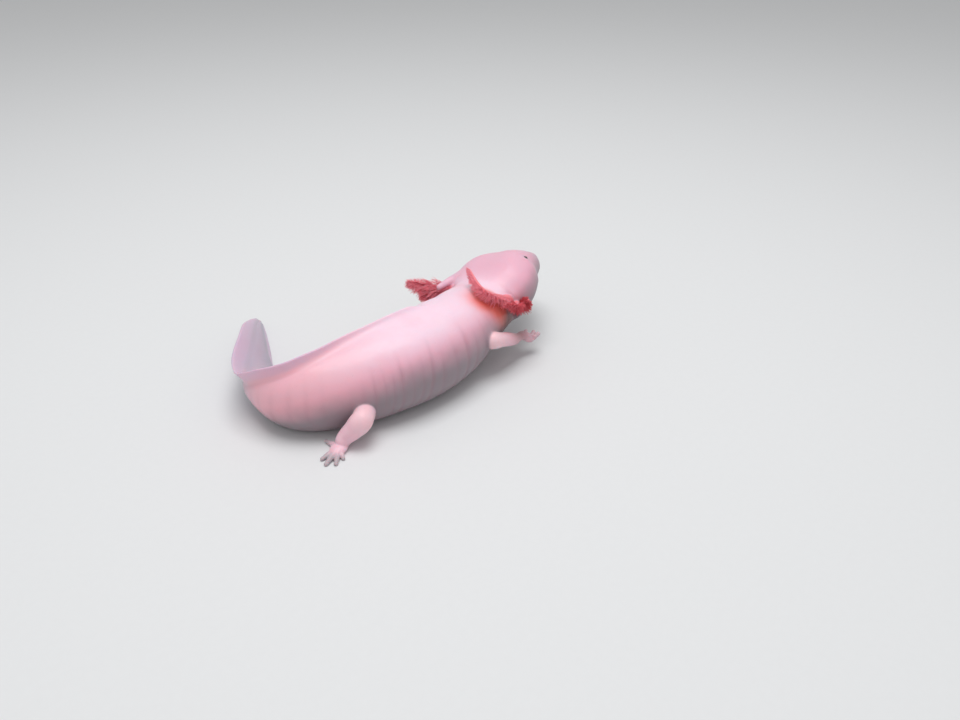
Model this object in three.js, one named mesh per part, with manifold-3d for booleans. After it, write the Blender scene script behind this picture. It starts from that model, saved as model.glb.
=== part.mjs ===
// Axolotl, a life-size still model in a natural stance.
// Millimetres, +Z up. The trunk points along +X, the animal's left is +Y and the floor is z = 0.
// The belly, the tail root, the left hand and both hind feet stand on the floor.
// The front of the trunk and the head are raised, the right hand is held out, and the tail
// curls round to the animal's left with its blade leaning outwards.
import * as THREE from 'three';
import { mergeVertices } from 'three/addons/utils/BufferGeometryUtils.js';
import Module from 'manifold-3d';

const wasm = await Module();
wasm.setup();

// ---------------------------------------------------------------- driving sizes

// Length along the spine from snout to tail tip, and the station that lies at 0, 0 on the floor plan.
const LENGTH = 223;
const ANCHOR = 115;
// The middle of the floor plan, which becomes the origin of the finished group.
const ORIGIN_X = 42.167;
const ORIGIN_Y = 32.157;
// Clearance between neighbours: beside a surface, and across a cut through the body or a limb.
const GAP = 0.3;
const CUT = 0.4;
// Sides of the body and of a limb.
const AROUND = 20;
const LIMB_AROUND = 10;

// Every table pairs a distance behind the snout, measured along the spine, with a size there.
const HALF_WIDTH = [
  [0, 3.4], [1, 5.6], [3, 8.4], [7, 12.0], [14, 14.9], [20, 15.9], [25, 18.0], [31, 19.0], [37, 17.3], [43, 14.6],
  [54, 15.4], [70, 17.0], [92, 17.6], [110, 15.4], [124, 12.4], [137, 9.4], [150, 6.8], [163, 5.0],
  [178, 3.6], [195, 2.4], [210, 1.5], [LENGTH, 0.8],
];
const HEIGHT_ABOVE = [
  [0, 1.9], [1, 2.8], [3, 3.9], [7, 5.1], [14, 9.0], [23, 12.0], [31, 12.2], [40, 11.9], [48, 12.8],
  [58, 14.8], [74, 17.2], [92, 17.0], [110, 16.2], [124, 15.0], [137, 13.0], [150, 10.4], [163, 8.0],
  [178, 5.8], [195, 4.0], [210, 2.3], [LENGTH, 0.9],
];
const DEPTH_BELOW = [
  [0, 1.7], [1, 2.5], [3, 3.5], [7, 4.5], [14, 5.7], [23, 7.4], [32, 8.8], [40, 10.2], [48, 12.0],
  [58, 14.2], [74, 16.4], [92, 16.8], [110, 16.0], [124, 14.4], [137, 12.0], [150, 9.2], [163, 7.0],
  [178, 5.0], [195, 3.4], [210, 1.9], [LENGTH, 0.8],
];
// Exponent of the cross-section: 2 is an ellipse, more is squarer.
const SQUARENESS = [[0, 2.2], [12, 2.4], [26, 2.65], [40, 2.2], [70, 2.1], [130, 2.05], [LENGTH, 2]];
const BACK_FIN = [
  [0, 0.6], [52, 0.7], [66, 0.9], [72, 1.2], [80, 2.5], [87, 3.0], [94, 2.8], [106, 2.5], [120, 2.9], [138, 4.6],
  [156, 5.5], [176, 6.6], [194, 5.8], [211, 3.2], [LENGTH, 0.8],
];
const UNDER_FIN = [
  [0, 0.6], [136, 0.7], [146, 1.3], [160, 2.6], [176, 3.5], [194, 3.7], [211, 2.7], [LENGTH, 0.7],
];
// Heading of the spine in the ground plane, degrees from +X towards +Y.
const HEADING = [
  [0, 25.9], [25, 20.4], [40, 13.8], [56, 12.2], [80, 0], [104, -10.8], [120, -17.8], [132, -40.8],
  [143, -88.5], [154, -107], [165, -120], [178, -122], [195, -123.5], [LENGTH, -124],
];
// Height of the lowest skin over the floor.
const CLEARANCE = [
  [0, 20.7], [25, 15.7], [40, 8.8], [56, 4.2], [72, 0.2], [84, -0.8], [112, -0.8], [130, -0.5],
  [146, 0.3], [178, 0.9], [LENGTH, 1.1],
];
// Lean of the section towards the animal's right, degrees: the head tips left, the tail blade right.
const LEAN = [
  [0, -20], [26, -18], [40, -9], [50, -8], [64, -13], [104, -12], [126, 0], [135, 12], [145, 32], [154, 43],
  [166, 45], [186, 34], [LENGTH, 38],
];

const EYE_STATION = 23;
const EYE_ANGLE = 35.5;
const EYE_RADIUS = 1.35;
const EYE_SINK = 0.8;

const BODY_PIECES = [
  { name: 'head', front: 0, back: 39, steps: 12, crowd: 1.6 },
  { name: 'neck', front: 39, back: 48, steps: 4, crowd: 1 },
  { name: 'chest', front: 48, back: 72, steps: 6, crowd: 1 },
  { name: 'belly', front: 72, back: 98, steps: 6, crowd: 1 },
  { name: 'pelvis', front: 98, back: 126, steps: 8, crowd: 1 },
  { name: 'tail_base', front: 126, back: 147, steps: 8, crowd: 1 },
  { name: 'tail_middle', front: 147, back: 178, steps: 9, crowd: 1 },
  { name: 'tail_tip', front: 178, back: LENGTH, steps: 9, crowd: 1 },
];

const FINS = [
  { name: 'fin_back', side: 1, front: 56, back: 128, steps: 16 },
  { name: 'fin_tail_front', side: 1, front: 128, back: 166, steps: 15 },
  { name: 'fin_tail_rear', side: 1, front: 166, back: LENGTH - 0.4, steps: 15 },
  { name: 'fin_under_tail', side: -1, front: 138, back: LENGTH - 0.4, steps: 22 },
];
// Half thickness of a fin at its root, which thins with the tail, and at its edge.
const FIN_ROOT_MOST = 0.9;
const FIN_ROOT_LEAST = 0.3;
const FIN_ROOT_SHARE = 0.3;
const FIN_EDGE = 0.32;
// The under fin lifts the spine by this share of what it has over a bare trace of fin.
const UNDER_FIN_TRACE = 0.7;
const UNDER_FIN_LIFT = 1.16;

// A planted toe's centre height at its tip, where the floor flattens its underside.
const TREAD = 0.4;
const KNUCKLE_SHARE = 0.55;
const KNUCKLE_HEIGHT = 0.72;
const TOE_TAPER = 0.5;
const TOE_DOME = 0.45;
const ANKLE_SHARE = 0.98;

// Limbs: centre line, radii at its points, and the share of its length where the upper piece ends.
const LIMBS = [
  {
    side: 'right', pieces: ['upper_arm', 'forearm'], split: 0.52,
    line: [[55.5, -8, 14.5], [56.4, -18.8, 16.8], [64.2, -19.2, 14.2], [69.8, -19, 12], [73.2, -18.4, 11.2]],
    radii: [2.6, 3.3, 2.8, 2.4, 1.9],
    foot: {
      name: 'hand', palm: [76.6, -17.6, 10.5], size: [2.9, 2.2, 1.4], turn: -5, tilt: 8,
      toes: [
        { tip: [81.8, -15.4, 10.4], root: 1.15 },
        { tip: [85.2, -17.4, 9.6], root: 1.2 },
        { tip: [85.4, -19.7, 9.0], root: 1.2 },
        { tip: [81.4, -20.6, 8.9], root: 1.1 },
      ],
    },
  },
  {
    side: 'left', pieces: ['upper_arm', 'forearm'], split: 0.52,
    line: [[57, 8, 14], [56.5, 16, 13], [56.5, 22.5, 9.8], [61, 25.6, 5.6], [65.4, 27.4, 3.0]],
    radii: [3.6, 3.3, 2.9, 2.5, 2.1],
    foot: {
      name: 'hand', palm: [67.6, 28.2, 1.3], size: [3.4, 2.7, 1.5], turn: 20, tilt: 0,
      toes: [
        { tip: [73.4, 24.2, TREAD], root: 1.05 },
        { tip: [76.2, 28.6, TREAD], root: 1.05 },
        { tip: [75.2, 33.0, TREAD], root: 1.05 },
        { tip: [70.2, 35.0, TREAD], root: 0.95 },
      ],
    },
  },
  {
    side: 'right', pieces: ['thigh', 'shank'], split: 0.58,
    line: [[2, -5, 9.6], [-3.0, -11.2, 9.8], [-8.2, -16.3, 10.6], [-11.1, -14.6, 7.1], [-13.9, -12.6, 3.8]],
    radii: [3.6, 3.8, 4.0, 3.5, 3.1],
    foot: {
      name: 'foot', palm: [-16.9, -12.9, 1.4], size: [4.2, 3.1, 1.7], turn: 207, tilt: 0,
      toes: [
        { tip: [-16.8, -4.6, TREAD], root: 1.0 },
        { tip: [-25.3, -12.9, TREAD], root: 1.05 },
        { tip: [-26.2, -16.5, TREAD], root: 1.1 },
        { tip: [-23.5, -19.1, TREAD], root: 1.05 },
        { tip: [-19.5, -18.7, TREAD], root: 0.95 },
      ],
    },
  },
  {
    side: 'left', pieces: ['thigh', 'shank'], split: 0.5,
    line: [[3, 6, 11.5], [5, 16, 11.8], [6.5, 23, 10.2], [5.2, 27, 6.2], [3.8, 29.6, 3.2]],
    radii: [4.2, 4.0, 3.6, 3.1, 2.4],
    foot: {
      name: 'foot', palm: [3.0, 32.2, 1.35], size: [3.9, 3.0, 1.6], turn: 104, tilt: 0,
      toes: [
        { tip: [9.0, 37.2, TREAD], root: 0.95 },
        { tip: [6.0, 40.8, TREAD], root: 1.05 },
        { tip: [2.2, 41.8, TREAD], root: 1.1 },
        { tip: [-1.4, 40.0, TREAD], root: 1.05 },
        { tip: [-3.6, 35.6, TREAD], root: 1.0 },
      ],
    },
  },
];

// Gills: where each stalk leaves the head, the way it runs, its sag and the way its plume hangs.
const GILLS = [
  {
    name: 'right_1', radii: [2.2, 0.75], station: 38, angle: 12,
    run: [-11.5, 14.1, 13.6], arch: [-11.9, -7.1, 4.1], hang: [-1, -0.3, -0.8],
  },
  {
    name: 'right_2', radii: [2.2, 0.75], station: 37.6, angle: 0,
    run: [-15, -7.5, 8], arch: [-0.5, -3.7, 0.7], hang: [-0.6, -0.3, -0.9],
  },
  {
    name: 'right_3', radii: [2.2, 0.75], station: 36.6, angle: -12,
    run: [-2.9, -8, 6.4], arch: [1, 0, -1], hang: [-1, 0.2, -0.3],
  },
  {
    name: 'left_1', radii: [2.3, 1.35], station: 29, angle: 124,
    run: [-15, 4.1, -3], arch: [0.6, 1.6, -0.5], hang: [-0.6, 0.2, -1],
  },
  {
    name: 'left_2', radii: [2.2, 0.75], station: 37.2, angle: 150,
    run: [-10.2, 21.1, 0], arch: [-0.1, 1, -1], hang: [-0.6, -0.4, -0.8],
  },
  {
    name: 'left_3', radii: [2.2, 0.75], station: 36.6, angle: 176,
    run: [-11.8, 11.9, -0.1], arch: [1.1, -0.6, -0.6], hang: [-0.5, -0.3, -0.9],
  },
];
// How fast a stalk tapers from its root's radius to its tip's, and how deep its root is in the head.
const GILL_TAPER = 0.8;
const GILL_START = 3;
const GILL_DOME = 0.5;
// Plume depth and half thickness, the share of the stalk that it spans, and how blunt its ends are.
const PLUME_DEEP = 4.6;
const PLUME_THICK = 1.7;
const PLUME_THIN = 0.45;
const PLUME_START = 0.14;
const PLUME_END = 0.98;
const PLUME_BLUNT = 0.04;
const PLUME_FULLNESS = 0.6;

// ---------------------------------------------------------------- materials

const skin = (colour, roughness = 0.42) =>
  new THREE.MeshStandardMaterial({ color: colour, roughness, metalness: 0 });
const SKIN = 0xf0bccb;
const LIMB_SKIN = 0xe9aebb;
const FIN_SKIN = 0xc9b3cc;
const STALK_SKIN = 0xd9879b;
const PLUME_RED = 0xc23a52;
const EYE_DARK = 0x2a1c26;

// ---------------------------------------------------------------- curves through the tables

// Smooth curve through a table that never swings past its entries.
function through(table) {
  const xs = table.map((row) => row[0]);
  const ys = table.map((row) => row[1]);
  const last = xs.length - 1;
  const step = xs.slice(1).map((x, i) => x - xs[i]);
  const rise = step.map((h, i) => (ys[i + 1] - ys[i]) / h);
  const slope = ys.map((_, i) => {
    if (i === 0) return rise[0];
    if (i === last) return rise[last - 1];
    if (rise[i - 1] * rise[i] <= 0) return 0;
    const a = 2 * step[i] + step[i - 1];
    const b = step[i] + 2 * step[i - 1];
    return (a + b) / (a / rise[i - 1] + b / rise[i]);
  });
  return (x) => {
    const at = Math.min(Math.max(x, xs[0]), xs[last]);
    let i = 0;
    while (i < last - 1 && at > xs[i + 1]) i += 1;
    const h = step[i];
    const t = (at - xs[i]) / h;
    return (1 + 2 * t) * (1 - t) ** 2 * ys[i] + t * (1 - t) ** 2 * h * slope[i]
      + t * t * (3 - 2 * t) * ys[i + 1] + t * t * (t - 1) * h * slope[i + 1];
  };
}

const halfWidth = through(HALF_WIDTH);
const above = through(HEIGHT_ABOVE);
const below = through(DEPTH_BELOW);
const squareness = through(SQUARENESS);
const backFin = through(BACK_FIN);
const underFin = through(UNDER_FIN);
const heading = through(HEADING);
const clearance = through(CLEARANCE);
const lean = through(LEAN);
const radians = THREE.MathUtils.degToRad;

const finBelow = (s) => Math.max(underFin(s) - UNDER_FIN_TRACE, 0) * UNDER_FIN_LIFT;

// Ground-plane course of the spine, summed from the snout and shifted so the anchor is at 0, 0.
const STRIDE = 0.1;
const course = [new THREE.Vector2(0, 0)];
for (let s = STRIDE; s <= LENGTH + STRIDE / 2; s += STRIDE) {
  const way = radians(heading(s - STRIDE / 2));
  const from = course[course.length - 1];
  course.push(new THREE.Vector2(from.x - Math.cos(way) * STRIDE, from.y - Math.sin(way) * STRIDE));
}
const anchor = course[Math.round(ANCHOR / STRIDE)].clone();

function spine(s) {
  const at = Math.min(Math.max(s, 0), LENGTH) / STRIDE;
  const i = Math.min(Math.floor(at), course.length - 2);
  const flat = course[i].clone().lerp(course[i + 1], at - i).sub(anchor);
  const tip = radians(lean(s));
  const height = clearance(s) + (below(s) + finBelow(s)) * Math.cos(tip);
  return new THREE.Vector3(flat.x, flat.y, height);
}

// Forward, right and up at a station, with the lean of the section.
const PROBE = 0.5;

function frameAt(s) {
  const ahead = spine(Math.max(s - PROBE, 0));
  const behind = spine(Math.min(s + PROBE, LENGTH));
  const forward = ahead.sub(behind).normalize();
  const level = new THREE.Vector3().crossVectors(forward, new THREE.Vector3(0, 0, 1)).normalize();
  const upright = new THREE.Vector3().crossVectors(level, forward);
  const turn = radians(lean(s));
  const up = upright.clone().multiplyScalar(Math.cos(turn)).addScaledVector(level, Math.sin(turn));
  const right = level.clone().multiplyScalar(Math.cos(turn)).addScaledVector(upright, -Math.sin(turn));
  return { at: spine(s), forward, right, up };
}

// A point on the skin: station, angle up from the animal's right, and how far outside the skin.
function skinPoint(s, angle, outside = 0) {
  const { at, right, up } = frameAt(s);
  const power = 2 / squareness(s);
  const c = Math.cos(angle);
  const z = Math.sin(angle);
  const across = Math.sign(c) * Math.abs(c) ** power * (halfWidth(s) + outside);
  const high = (z > 0 ? above(s) : below(s)) + outside;
  return at.addScaledVector(right, across).addScaledVector(up, Math.sign(z) * Math.abs(z) ** power * high);
}

// ---------------------------------------------------------------- solids

// A bare closed mesh: three.js geometry with only shared positions left.
function bare(geometry) {
  geometry.deleteAttribute('normal');
  geometry.deleteAttribute('uv');
  return mergeVertices(geometry, 1e-4);
}

// Moves every vertex of a geometry by a function of its position.
function shaped(geometry, place) {
  const shape = bare(geometry);
  const position = shape.attributes.position;
  const v = new THREE.Vector3();
  for (let i = 0; i < position.count; i += 1) {
    v.fromBufferAttribute(position, i);
    const to = place(v);
    position.setXYZ(i, to.x, to.y, to.z);
  }
  return shape;
}

function toSolid(geometry) {
  return new wasm.Manifold(new wasm.Mesh({
    numProp: 3,
    vertProperties: new Float32Array(geometry.attributes.position.array),
    triVerts: new Uint32Array(geometry.index.array),
  }));
}

// The geometry of a solid's largest body; slivers left by a cut are dropped.
function fromSolid(solid) {
  const [largest] = solid.decompose().sort((a, b) => b.volume() - a.volume());
  const mesh = largest.getMesh();
  const geometry = new THREE.BufferGeometry();
  geometry.setAttribute('position', new THREE.BufferAttribute(mesh.vertProperties.slice(), 3));
  geometry.setIndex(new THREE.BufferAttribute(mesh.triVerts.slice(), 1));
  return geometry;
}

// A length of the body: a cylinder whose rings become the cross-sections between two stations.
function bodyLength({ front, back, steps, crowd }, outside = 0) {
  return shaped(new THREE.CylinderGeometry(1, 1, 1, AROUND, steps), (v) => {
    const s = front + (back - front) * Math.max(0.5 - v.y, 0) ** crowd;
    if (Math.hypot(v.x, v.z) < 0.5) return frameAt(s).at;
    return skinPoint(s, Math.atan2(v.z, v.x), outside);
  });
}

// A fin blade: a box bent along the back or the under edge of the tail, thin towards its edge.
function finBlade({ side, front, back, steps }) {
  return shaped(new THREE.BoxGeometry(1, 1, 1, 1, steps, 2), (v) => {
    const s = front + (back - front) * (0.5 - v.y);
    const { at, right, up } = frameAt(s);
    const rise = (v.z + 0.5) * (side > 0 ? backFin(s) : underFin(s));
    const root = Math.min(FIN_ROOT_MOST, FIN_ROOT_LEAST + FIN_ROOT_SHARE * halfWidth(s));
    const half = THREE.MathUtils.lerp(root, FIN_EDGE, v.z + 0.5);
    const foot = (side > 0 ? above(s) : below(s)) + GAP;
    return at.addScaledVector(right, side * v.x * 2 * half).addScaledVector(up, side * (foot + rise));
  });
}

const vector = (list) => new THREE.Vector3(...list);

// A tapered tube along a curve, for limbs, toes and gill stalks. A dome is the share of the
// radius that its end rings keep, beside a full ring a short way in.
const FRAMES = 40;
const DOME_INSET = 0.06;

function taperedTube(curve, radiusAt, { from = 0, to = 1, steps = 6, around = LIMB_AROUND, dome = 0 }) {
  const frames = curve.computeFrenetFrames(FRAMES);
  const slices = dome > 0 ? steps + 2 : steps;
  return shaped(new THREE.CylinderGeometry(1, 1, 1, around, slices), (v) => {
    const slice = Math.round((v.y + 0.5) * slices);
    const isEnd = slice === 0 || slice === slices;
    let along = slice / slices;
    if (dome > 0 && !isEnd) {
      along = THREE.MathUtils.lerp(DOME_INSET, 1 - DOME_INSET, (slice - 1) / (slices - 2));
    }
    const share = from + (to - from) * along;
    const frame = Math.min(Math.round(share * FRAMES), FRAMES);
    const radius = radiusAt(share) * (dome > 0 && isEnd ? dome : 1);
    return curve.getPointAt(share)
      .addScaledVector(frames.normals[frame], v.x * radius)
      .addScaledVector(frames.binormals[frame], -v.z * radius);
  });
}

// A big block on one side of a plane square to a curve, clear of the plane by half a cut.
const BLOCK = 120;

function halfSpace(curve, share, side) {
  const block = new THREE.BoxGeometry(BLOCK, BLOCK, BLOCK).translate(0, 0, side * (BLOCK + CUT) / 2);
  const upwards = new THREE.Vector3(0, 0, 1);
  const turn = new THREE.Quaternion().setFromUnitVectors(upwards, curve.getTangentAt(share));
  const at = curve.getPointAt(share);
  return bare(block.applyQuaternion(turn).translate(at.x, at.y, at.z));
}

// The room that the head and trunk take, finer than their own facets, and the ground.
const bodyRoom = toSolid(bodyLength({ front: 0, back: 126, steps: 46, crowd: 1.15 }, GAP + 0.05));
const floorBlock = toSolid(bare(new THREE.BoxGeometry(600, 600, 40).translate(0, 0, -20)));

// The part of a geometry that stands on the floor, clear of the body where asked.
function trimmed(geometry, clearOfBody) {
  let solid = toSolid(geometry).subtract(floorBlock);
  if (clearOfBody) solid = solid.subtract(bodyRoom);
  return fromSolid(solid);
}

// ---------------------------------------------------------------- the animal

const group = new THREE.Group();

function add(name, geometry, material) {
  geometry.computeVertexNormals();
  const mesh = new THREE.Mesh(geometry, material);
  mesh.name = name;
  group.add(mesh);
}

// Eyes: balls half sunk in sockets on the sides of the head.
function eyeCentre(angle) {
  const out = skinPoint(EYE_STATION, angle);
  const inwards = frameAt(EYE_STATION).at.sub(out).normalize();
  return out.addScaledVector(inwards, EYE_SINK);
}
const eyes = [['eye_right', radians(EYE_ANGLE)], ['eye_left', radians(180 - EYE_ANGLE)]];
const ball = (radius, at) => bare(new THREE.SphereGeometry(radius, 10, 6)).translate(at.x, at.y, at.z);

for (const piece of BODY_PIECES) {
  const front = piece.front + (piece.front > 0 ? CUT / 2 : 0);
  const back = piece.back - (piece.back < LENGTH ? CUT / 2 : 0);
  let solid = toSolid(bodyLength({ ...piece, front, back })).subtract(floorBlock);
  if (piece.name === 'head') {
    for (const [, angle] of eyes) {
      solid = solid.subtract(toSolid(ball(EYE_RADIUS + GAP, eyeCentre(angle))));
    }
  }
  add(piece.name, fromSolid(solid), skin(SKIN));
}
for (const [name, angle] of eyes) add(name, ball(EYE_RADIUS, eyeCentre(angle)), skin(EYE_DARK, 0.1));

for (const fin of FINS) {
  const front = fin.front + CUT / 2;
  const back = fin.back - CUT / 2;
  add(fin.name, trimmed(finBlade({ ...fin, front, back }), false), skin(FIN_SKIN));
}

// Limbs with their hands and feet.
for (const limb of LIMBS) {
  const curve = new THREE.CatmullRomCurve3(limb.line.map(vector), false, 'centripetal');
  const shares = limb.radii.map((_, i) => i / (limb.radii.length - 1));
  const radiusAt = through(limb.radii.map((r, i) => [shares[i], r]));
  const whole = toSolid(trimmed(taperedTube(curve, radiusAt, { to: ANKLE_SHARE, steps: 12 }), true));
  limb.pieces.forEach((piece, i) => {
    const half = toSolid(halfSpace(curve, limb.split, i === 0 ? -1 : 1));
    add(`${piece}_${limb.side}`, fromSolid(whole.intersect(half)), skin(LIMB_SKIN));
  });

  const { name, palm, size, turn, tilt, toes } = limb.foot;
  const pad = bare(new THREE.SphereGeometry(1, LIMB_AROUND, 6)).scale(...size);
  pad.rotateY(radians(tilt)).rotateZ(radians(turn)).translate(...palm);
  let foot = toSolid(pad);
  for (const toe of toes) {
    const root = vector(palm);
    const tip = vector(toe.tip);
    const knuckle = root.clone().lerp(tip, KNUCKLE_SHARE);
    knuckle.z = Math.max(root.z, tip.z) * KNUCKLE_HEIGHT;
    const line = new THREE.CatmullRomCurve3([root, knuckle, tip], false, 'centripetal');
    const toeRadius = (u) => toe.root * (1 - TOE_TAPER * u);
    const tube = taperedTube(line, toeRadius, { steps: 3, around: 6, dome: TOE_DOME });
    foot = foot.add(toSolid(tube));
  }
  const room = { to: ANKLE_SHARE + CUT / curve.getLength(), steps: 12 };
  const lowerRoom = taperedTube(curve, (u) => radiusAt(u) + GAP, room);
  const footSolid = foot.subtract(toSolid(lowerRoom)).subtract(floorBlock);
  add(`${name}_${limb.side}`, fromSolid(footSolid), skin(LIMB_SKIN));
}

// Gills: a stalk and the plume of filaments that hangs behind and below it.
function gillCurve({ station, angle, run, arch }) {
  const root = skinPoint(station, radians(angle), -GILL_START);
  const way = vector(run);
  const middle = root.clone().addScaledVector(way, 0.5).add(vector(arch));
  return new THREE.CatmullRomCurve3([root, middle, root.clone().add(way)], false, 'centripetal');
}
const gillRadius = ({ radii }, u) => THREE.MathUtils.lerp(radii[0], radii[1], u ** GILL_TAPER);

function stalkShape(gill, outside = 0) {
  const facets = { steps: 6, around: 8, dome: GILL_DOME };
  return taperedTube(gillCurve(gill), (u) => gillRadius(gill, u) + outside, facets);
}

function plumeShape(gill, outside = 0) {
  const curve = gillCurve(gill);
  const hang = vector(gill.hang).normalize();
  return shaped(new THREE.CylinderGeometry(1, 1, 1, 8, 7), (v) => {
    const share = PLUME_START + (PLUME_END - PLUME_START) * (v.y + 0.5);
    const along = curve.getTangentAt(share);
    const out = hang.clone().addScaledVector(along, -hang.dot(along)).normalize();
    const across = new THREE.Vector3().crossVectors(along, out);
    const phase = Math.PI * THREE.MathUtils.lerp(PLUME_BLUNT, 1 - PLUME_BLUNT, share);
    const full = Math.sin(phase) ** PLUME_FULLNESS;
    const deep = PLUME_DEEP * full / 2;
    const thick = PLUME_THICK * THREE.MathUtils.lerp(PLUME_THIN, 1, full) + outside;
    return curve.getPointAt(share)
      .addScaledVector(out, gillRadius(gill, share) + GAP + deep + v.z * (deep + outside))
      .addScaledVector(across, v.x * thick);
  });
}

GILLS.forEach((gill, i) => {
  let stalk = toSolid(trimmed(stalkShape(gill), true));
  let plume = toSolid(trimmed(plumeShape(gill), true));
  GILLS.forEach((other, k) => {
    if (k === i) return;
    const stalkRoom = toSolid(stalkShape(other, GAP));
    plume = plume.subtract(stalkRoom);
    if (k < i) stalk = stalk.subtract(stalkRoom);
    if (k < i) plume = plume.subtract(toSolid(plumeShape(other, GAP)));
  });
  add(`gill_stalk_${gill.name}`, fromSolid(stalk), skin(STALK_SKIN));
  add(`gill_plume_${gill.name}`, fromSolid(plume), skin(PLUME_RED, 0.6));
});

group.position.set(-ORIGIN_X, -ORIGIN_Y, 0);

export default group;
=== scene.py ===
"""A life-size axolotl: one moist skin over its trunk, limbs, fins and gill stalks, two eyes,
and the red strands of its six gills.

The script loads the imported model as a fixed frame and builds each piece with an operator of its
own. Tables and shapes are in millimetres; a mesh is turned to metres when it is made.
"""

import bpy
import numpy as np
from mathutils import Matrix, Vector


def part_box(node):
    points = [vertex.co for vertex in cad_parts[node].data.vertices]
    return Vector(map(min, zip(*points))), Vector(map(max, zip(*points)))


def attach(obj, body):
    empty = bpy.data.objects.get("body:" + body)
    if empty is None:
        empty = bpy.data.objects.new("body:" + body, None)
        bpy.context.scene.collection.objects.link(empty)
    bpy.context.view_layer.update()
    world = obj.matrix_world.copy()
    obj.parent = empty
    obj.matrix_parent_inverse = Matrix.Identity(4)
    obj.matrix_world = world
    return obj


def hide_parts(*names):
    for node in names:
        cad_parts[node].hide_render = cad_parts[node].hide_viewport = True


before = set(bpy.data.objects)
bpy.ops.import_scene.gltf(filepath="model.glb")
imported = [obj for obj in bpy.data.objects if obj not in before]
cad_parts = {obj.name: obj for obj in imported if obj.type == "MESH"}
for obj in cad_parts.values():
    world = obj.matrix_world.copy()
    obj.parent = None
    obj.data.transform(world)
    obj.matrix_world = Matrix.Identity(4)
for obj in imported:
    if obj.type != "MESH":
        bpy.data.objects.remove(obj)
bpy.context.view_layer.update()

bl_info = {
    "name": "Axolotl",
    "version": (1, 0, 0),
    "blender": (4, 5, 0),
    "location": "3D View > Sidebar > Axolotl",
    "description": "Builds a life-size axolotl around its packed solids",
    "category": "Add Mesh",
}

# ---------------------------------------------------------------- sizes of the animal

MM = 0.001
LENGTH = 223.0

# The spine's plan is drawn from this station, and the part's origin lies at this place in it.
ANCHOR = 115.0
ORIGIN = np.array([42.167, 32.157, 0.0])

# Every table pairs a station, the distance behind the snout along the spine, with a size there.
HALF_WIDTH = [
    (0, 3.4), (1, 5.6), (3, 8.4), (7, 12.0), (14, 14.9), (20, 15.9), (25, 18.0), (31, 19.0),
    (37, 17.3), (43, 14.6), (54, 15.4), (70, 17.0), (92, 17.6), (110, 15.4), (124, 12.4),
    (137, 9.4), (150, 6.8), (163, 5.0), (178, 3.6), (195, 2.4), (210, 1.5), (LENGTH, 0.8),
]
HEIGHT_ABOVE = [
    (0, 1.9), (1, 2.8), (3, 3.9), (7, 5.1), (14, 9.0), (23, 12.0), (31, 12.2), (40, 11.9),
    (48, 12.8), (58, 14.8), (74, 17.2), (92, 17.0), (110, 16.2), (124, 15.0), (137, 13.0),
    (150, 10.4), (163, 8.0), (178, 5.8), (195, 4.0), (210, 2.3), (LENGTH, 0.9),
]
DEPTH_BELOW = [
    (0, 1.7), (1, 2.5), (3, 3.5), (7, 4.5), (14, 5.7), (23, 7.4), (32, 8.8), (40, 10.2),
    (48, 12.0), (58, 14.2), (74, 16.4), (92, 16.8), (110, 16.0), (124, 14.4), (137, 12.0),
    (150, 9.2), (163, 7.0), (178, 5.0), (195, 3.4), (210, 1.9), (LENGTH, 0.8),
]
SQUARENESS = [(0, 2.2), (12, 2.4), (26, 2.65), (40, 2.2), (70, 2.1), (130, 2.05), (LENGTH, 2)]
BACK_FIN = [
    (0, 0.6), (52, 0.7), (66, 0.9), (72, 1.2), (80, 2.5), (87, 3.0), (94, 2.8), (106, 2.5),
    (120, 2.9), (138, 4.6), (156, 5.5), (176, 6.6), (194, 5.8), (211, 3.2), (LENGTH, 0.8),
]
UNDER_FIN = [
    (0, 0.6), (136, 0.7), (146, 1.3), (160, 2.6), (176, 3.5), (194, 3.7), (211, 2.7),
    (LENGTH, 0.7),
]
HEADING = [
    (0, 25.9), (25, 20.4), (40, 13.8), (56, 12.2), (80, 0), (104, -10.8), (120, -17.8),
    (132, -40.8), (143, -88.5), (154, -107), (165, -120), (178, -122), (195, -123.5),
    (LENGTH, -124),
]
CLEARANCE = [
    (0, 20.7), (25, 15.7), (40, 8.8), (56, 4.2), (72, 0.2), (84, -0.8), (112, -0.8), (130, -0.5),
    (146, 0.3), (178, 0.9), (LENGTH, 1.1),
]
LEAN = [
    (0, -20), (26, -18), (40, -9), (50, -8), (64, -13), (104, -12), (126, 0), (135, 12),
    (145, 32), (154, 43), (166, 45), (186, 34), (LENGTH, 38),
]

# The under fin's height past a trace, times the lift, raises the spine off the floor.
UNDER_FIN_TRACE = 0.7
UNDER_FIN_LIFT = 1.16

# Fins: the stations over which each rises out of the body, how much further out than its table its
# edge stands, half its thickness at the root (at most, and as a least value plus a share of the
# body's half width) and at the edge, and how far its root flares.
BACK_FIN_START = (70, 86)
UNDER_FIN_START = (134, 146)
FIN_GAP = 0.3
FIN_ROOT_MOST = 0.9
FIN_ROOT_LEAST = 0.3
FIN_ROOT_SHARE = 0.3
FIN_EDGE = 0.32
FIN_FILLET = 1.1

# Number of the groove between two ribs, counted from the one behind the armpit.
COSTAL = [(54, -4.2), (64, -2.1), (75, 0), (91, 3), (103, 6.3), (112, 9.1), (122, 11.5)]

# Height of a toe's tip where the foot is planted.
TREAD = 0.4

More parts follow.
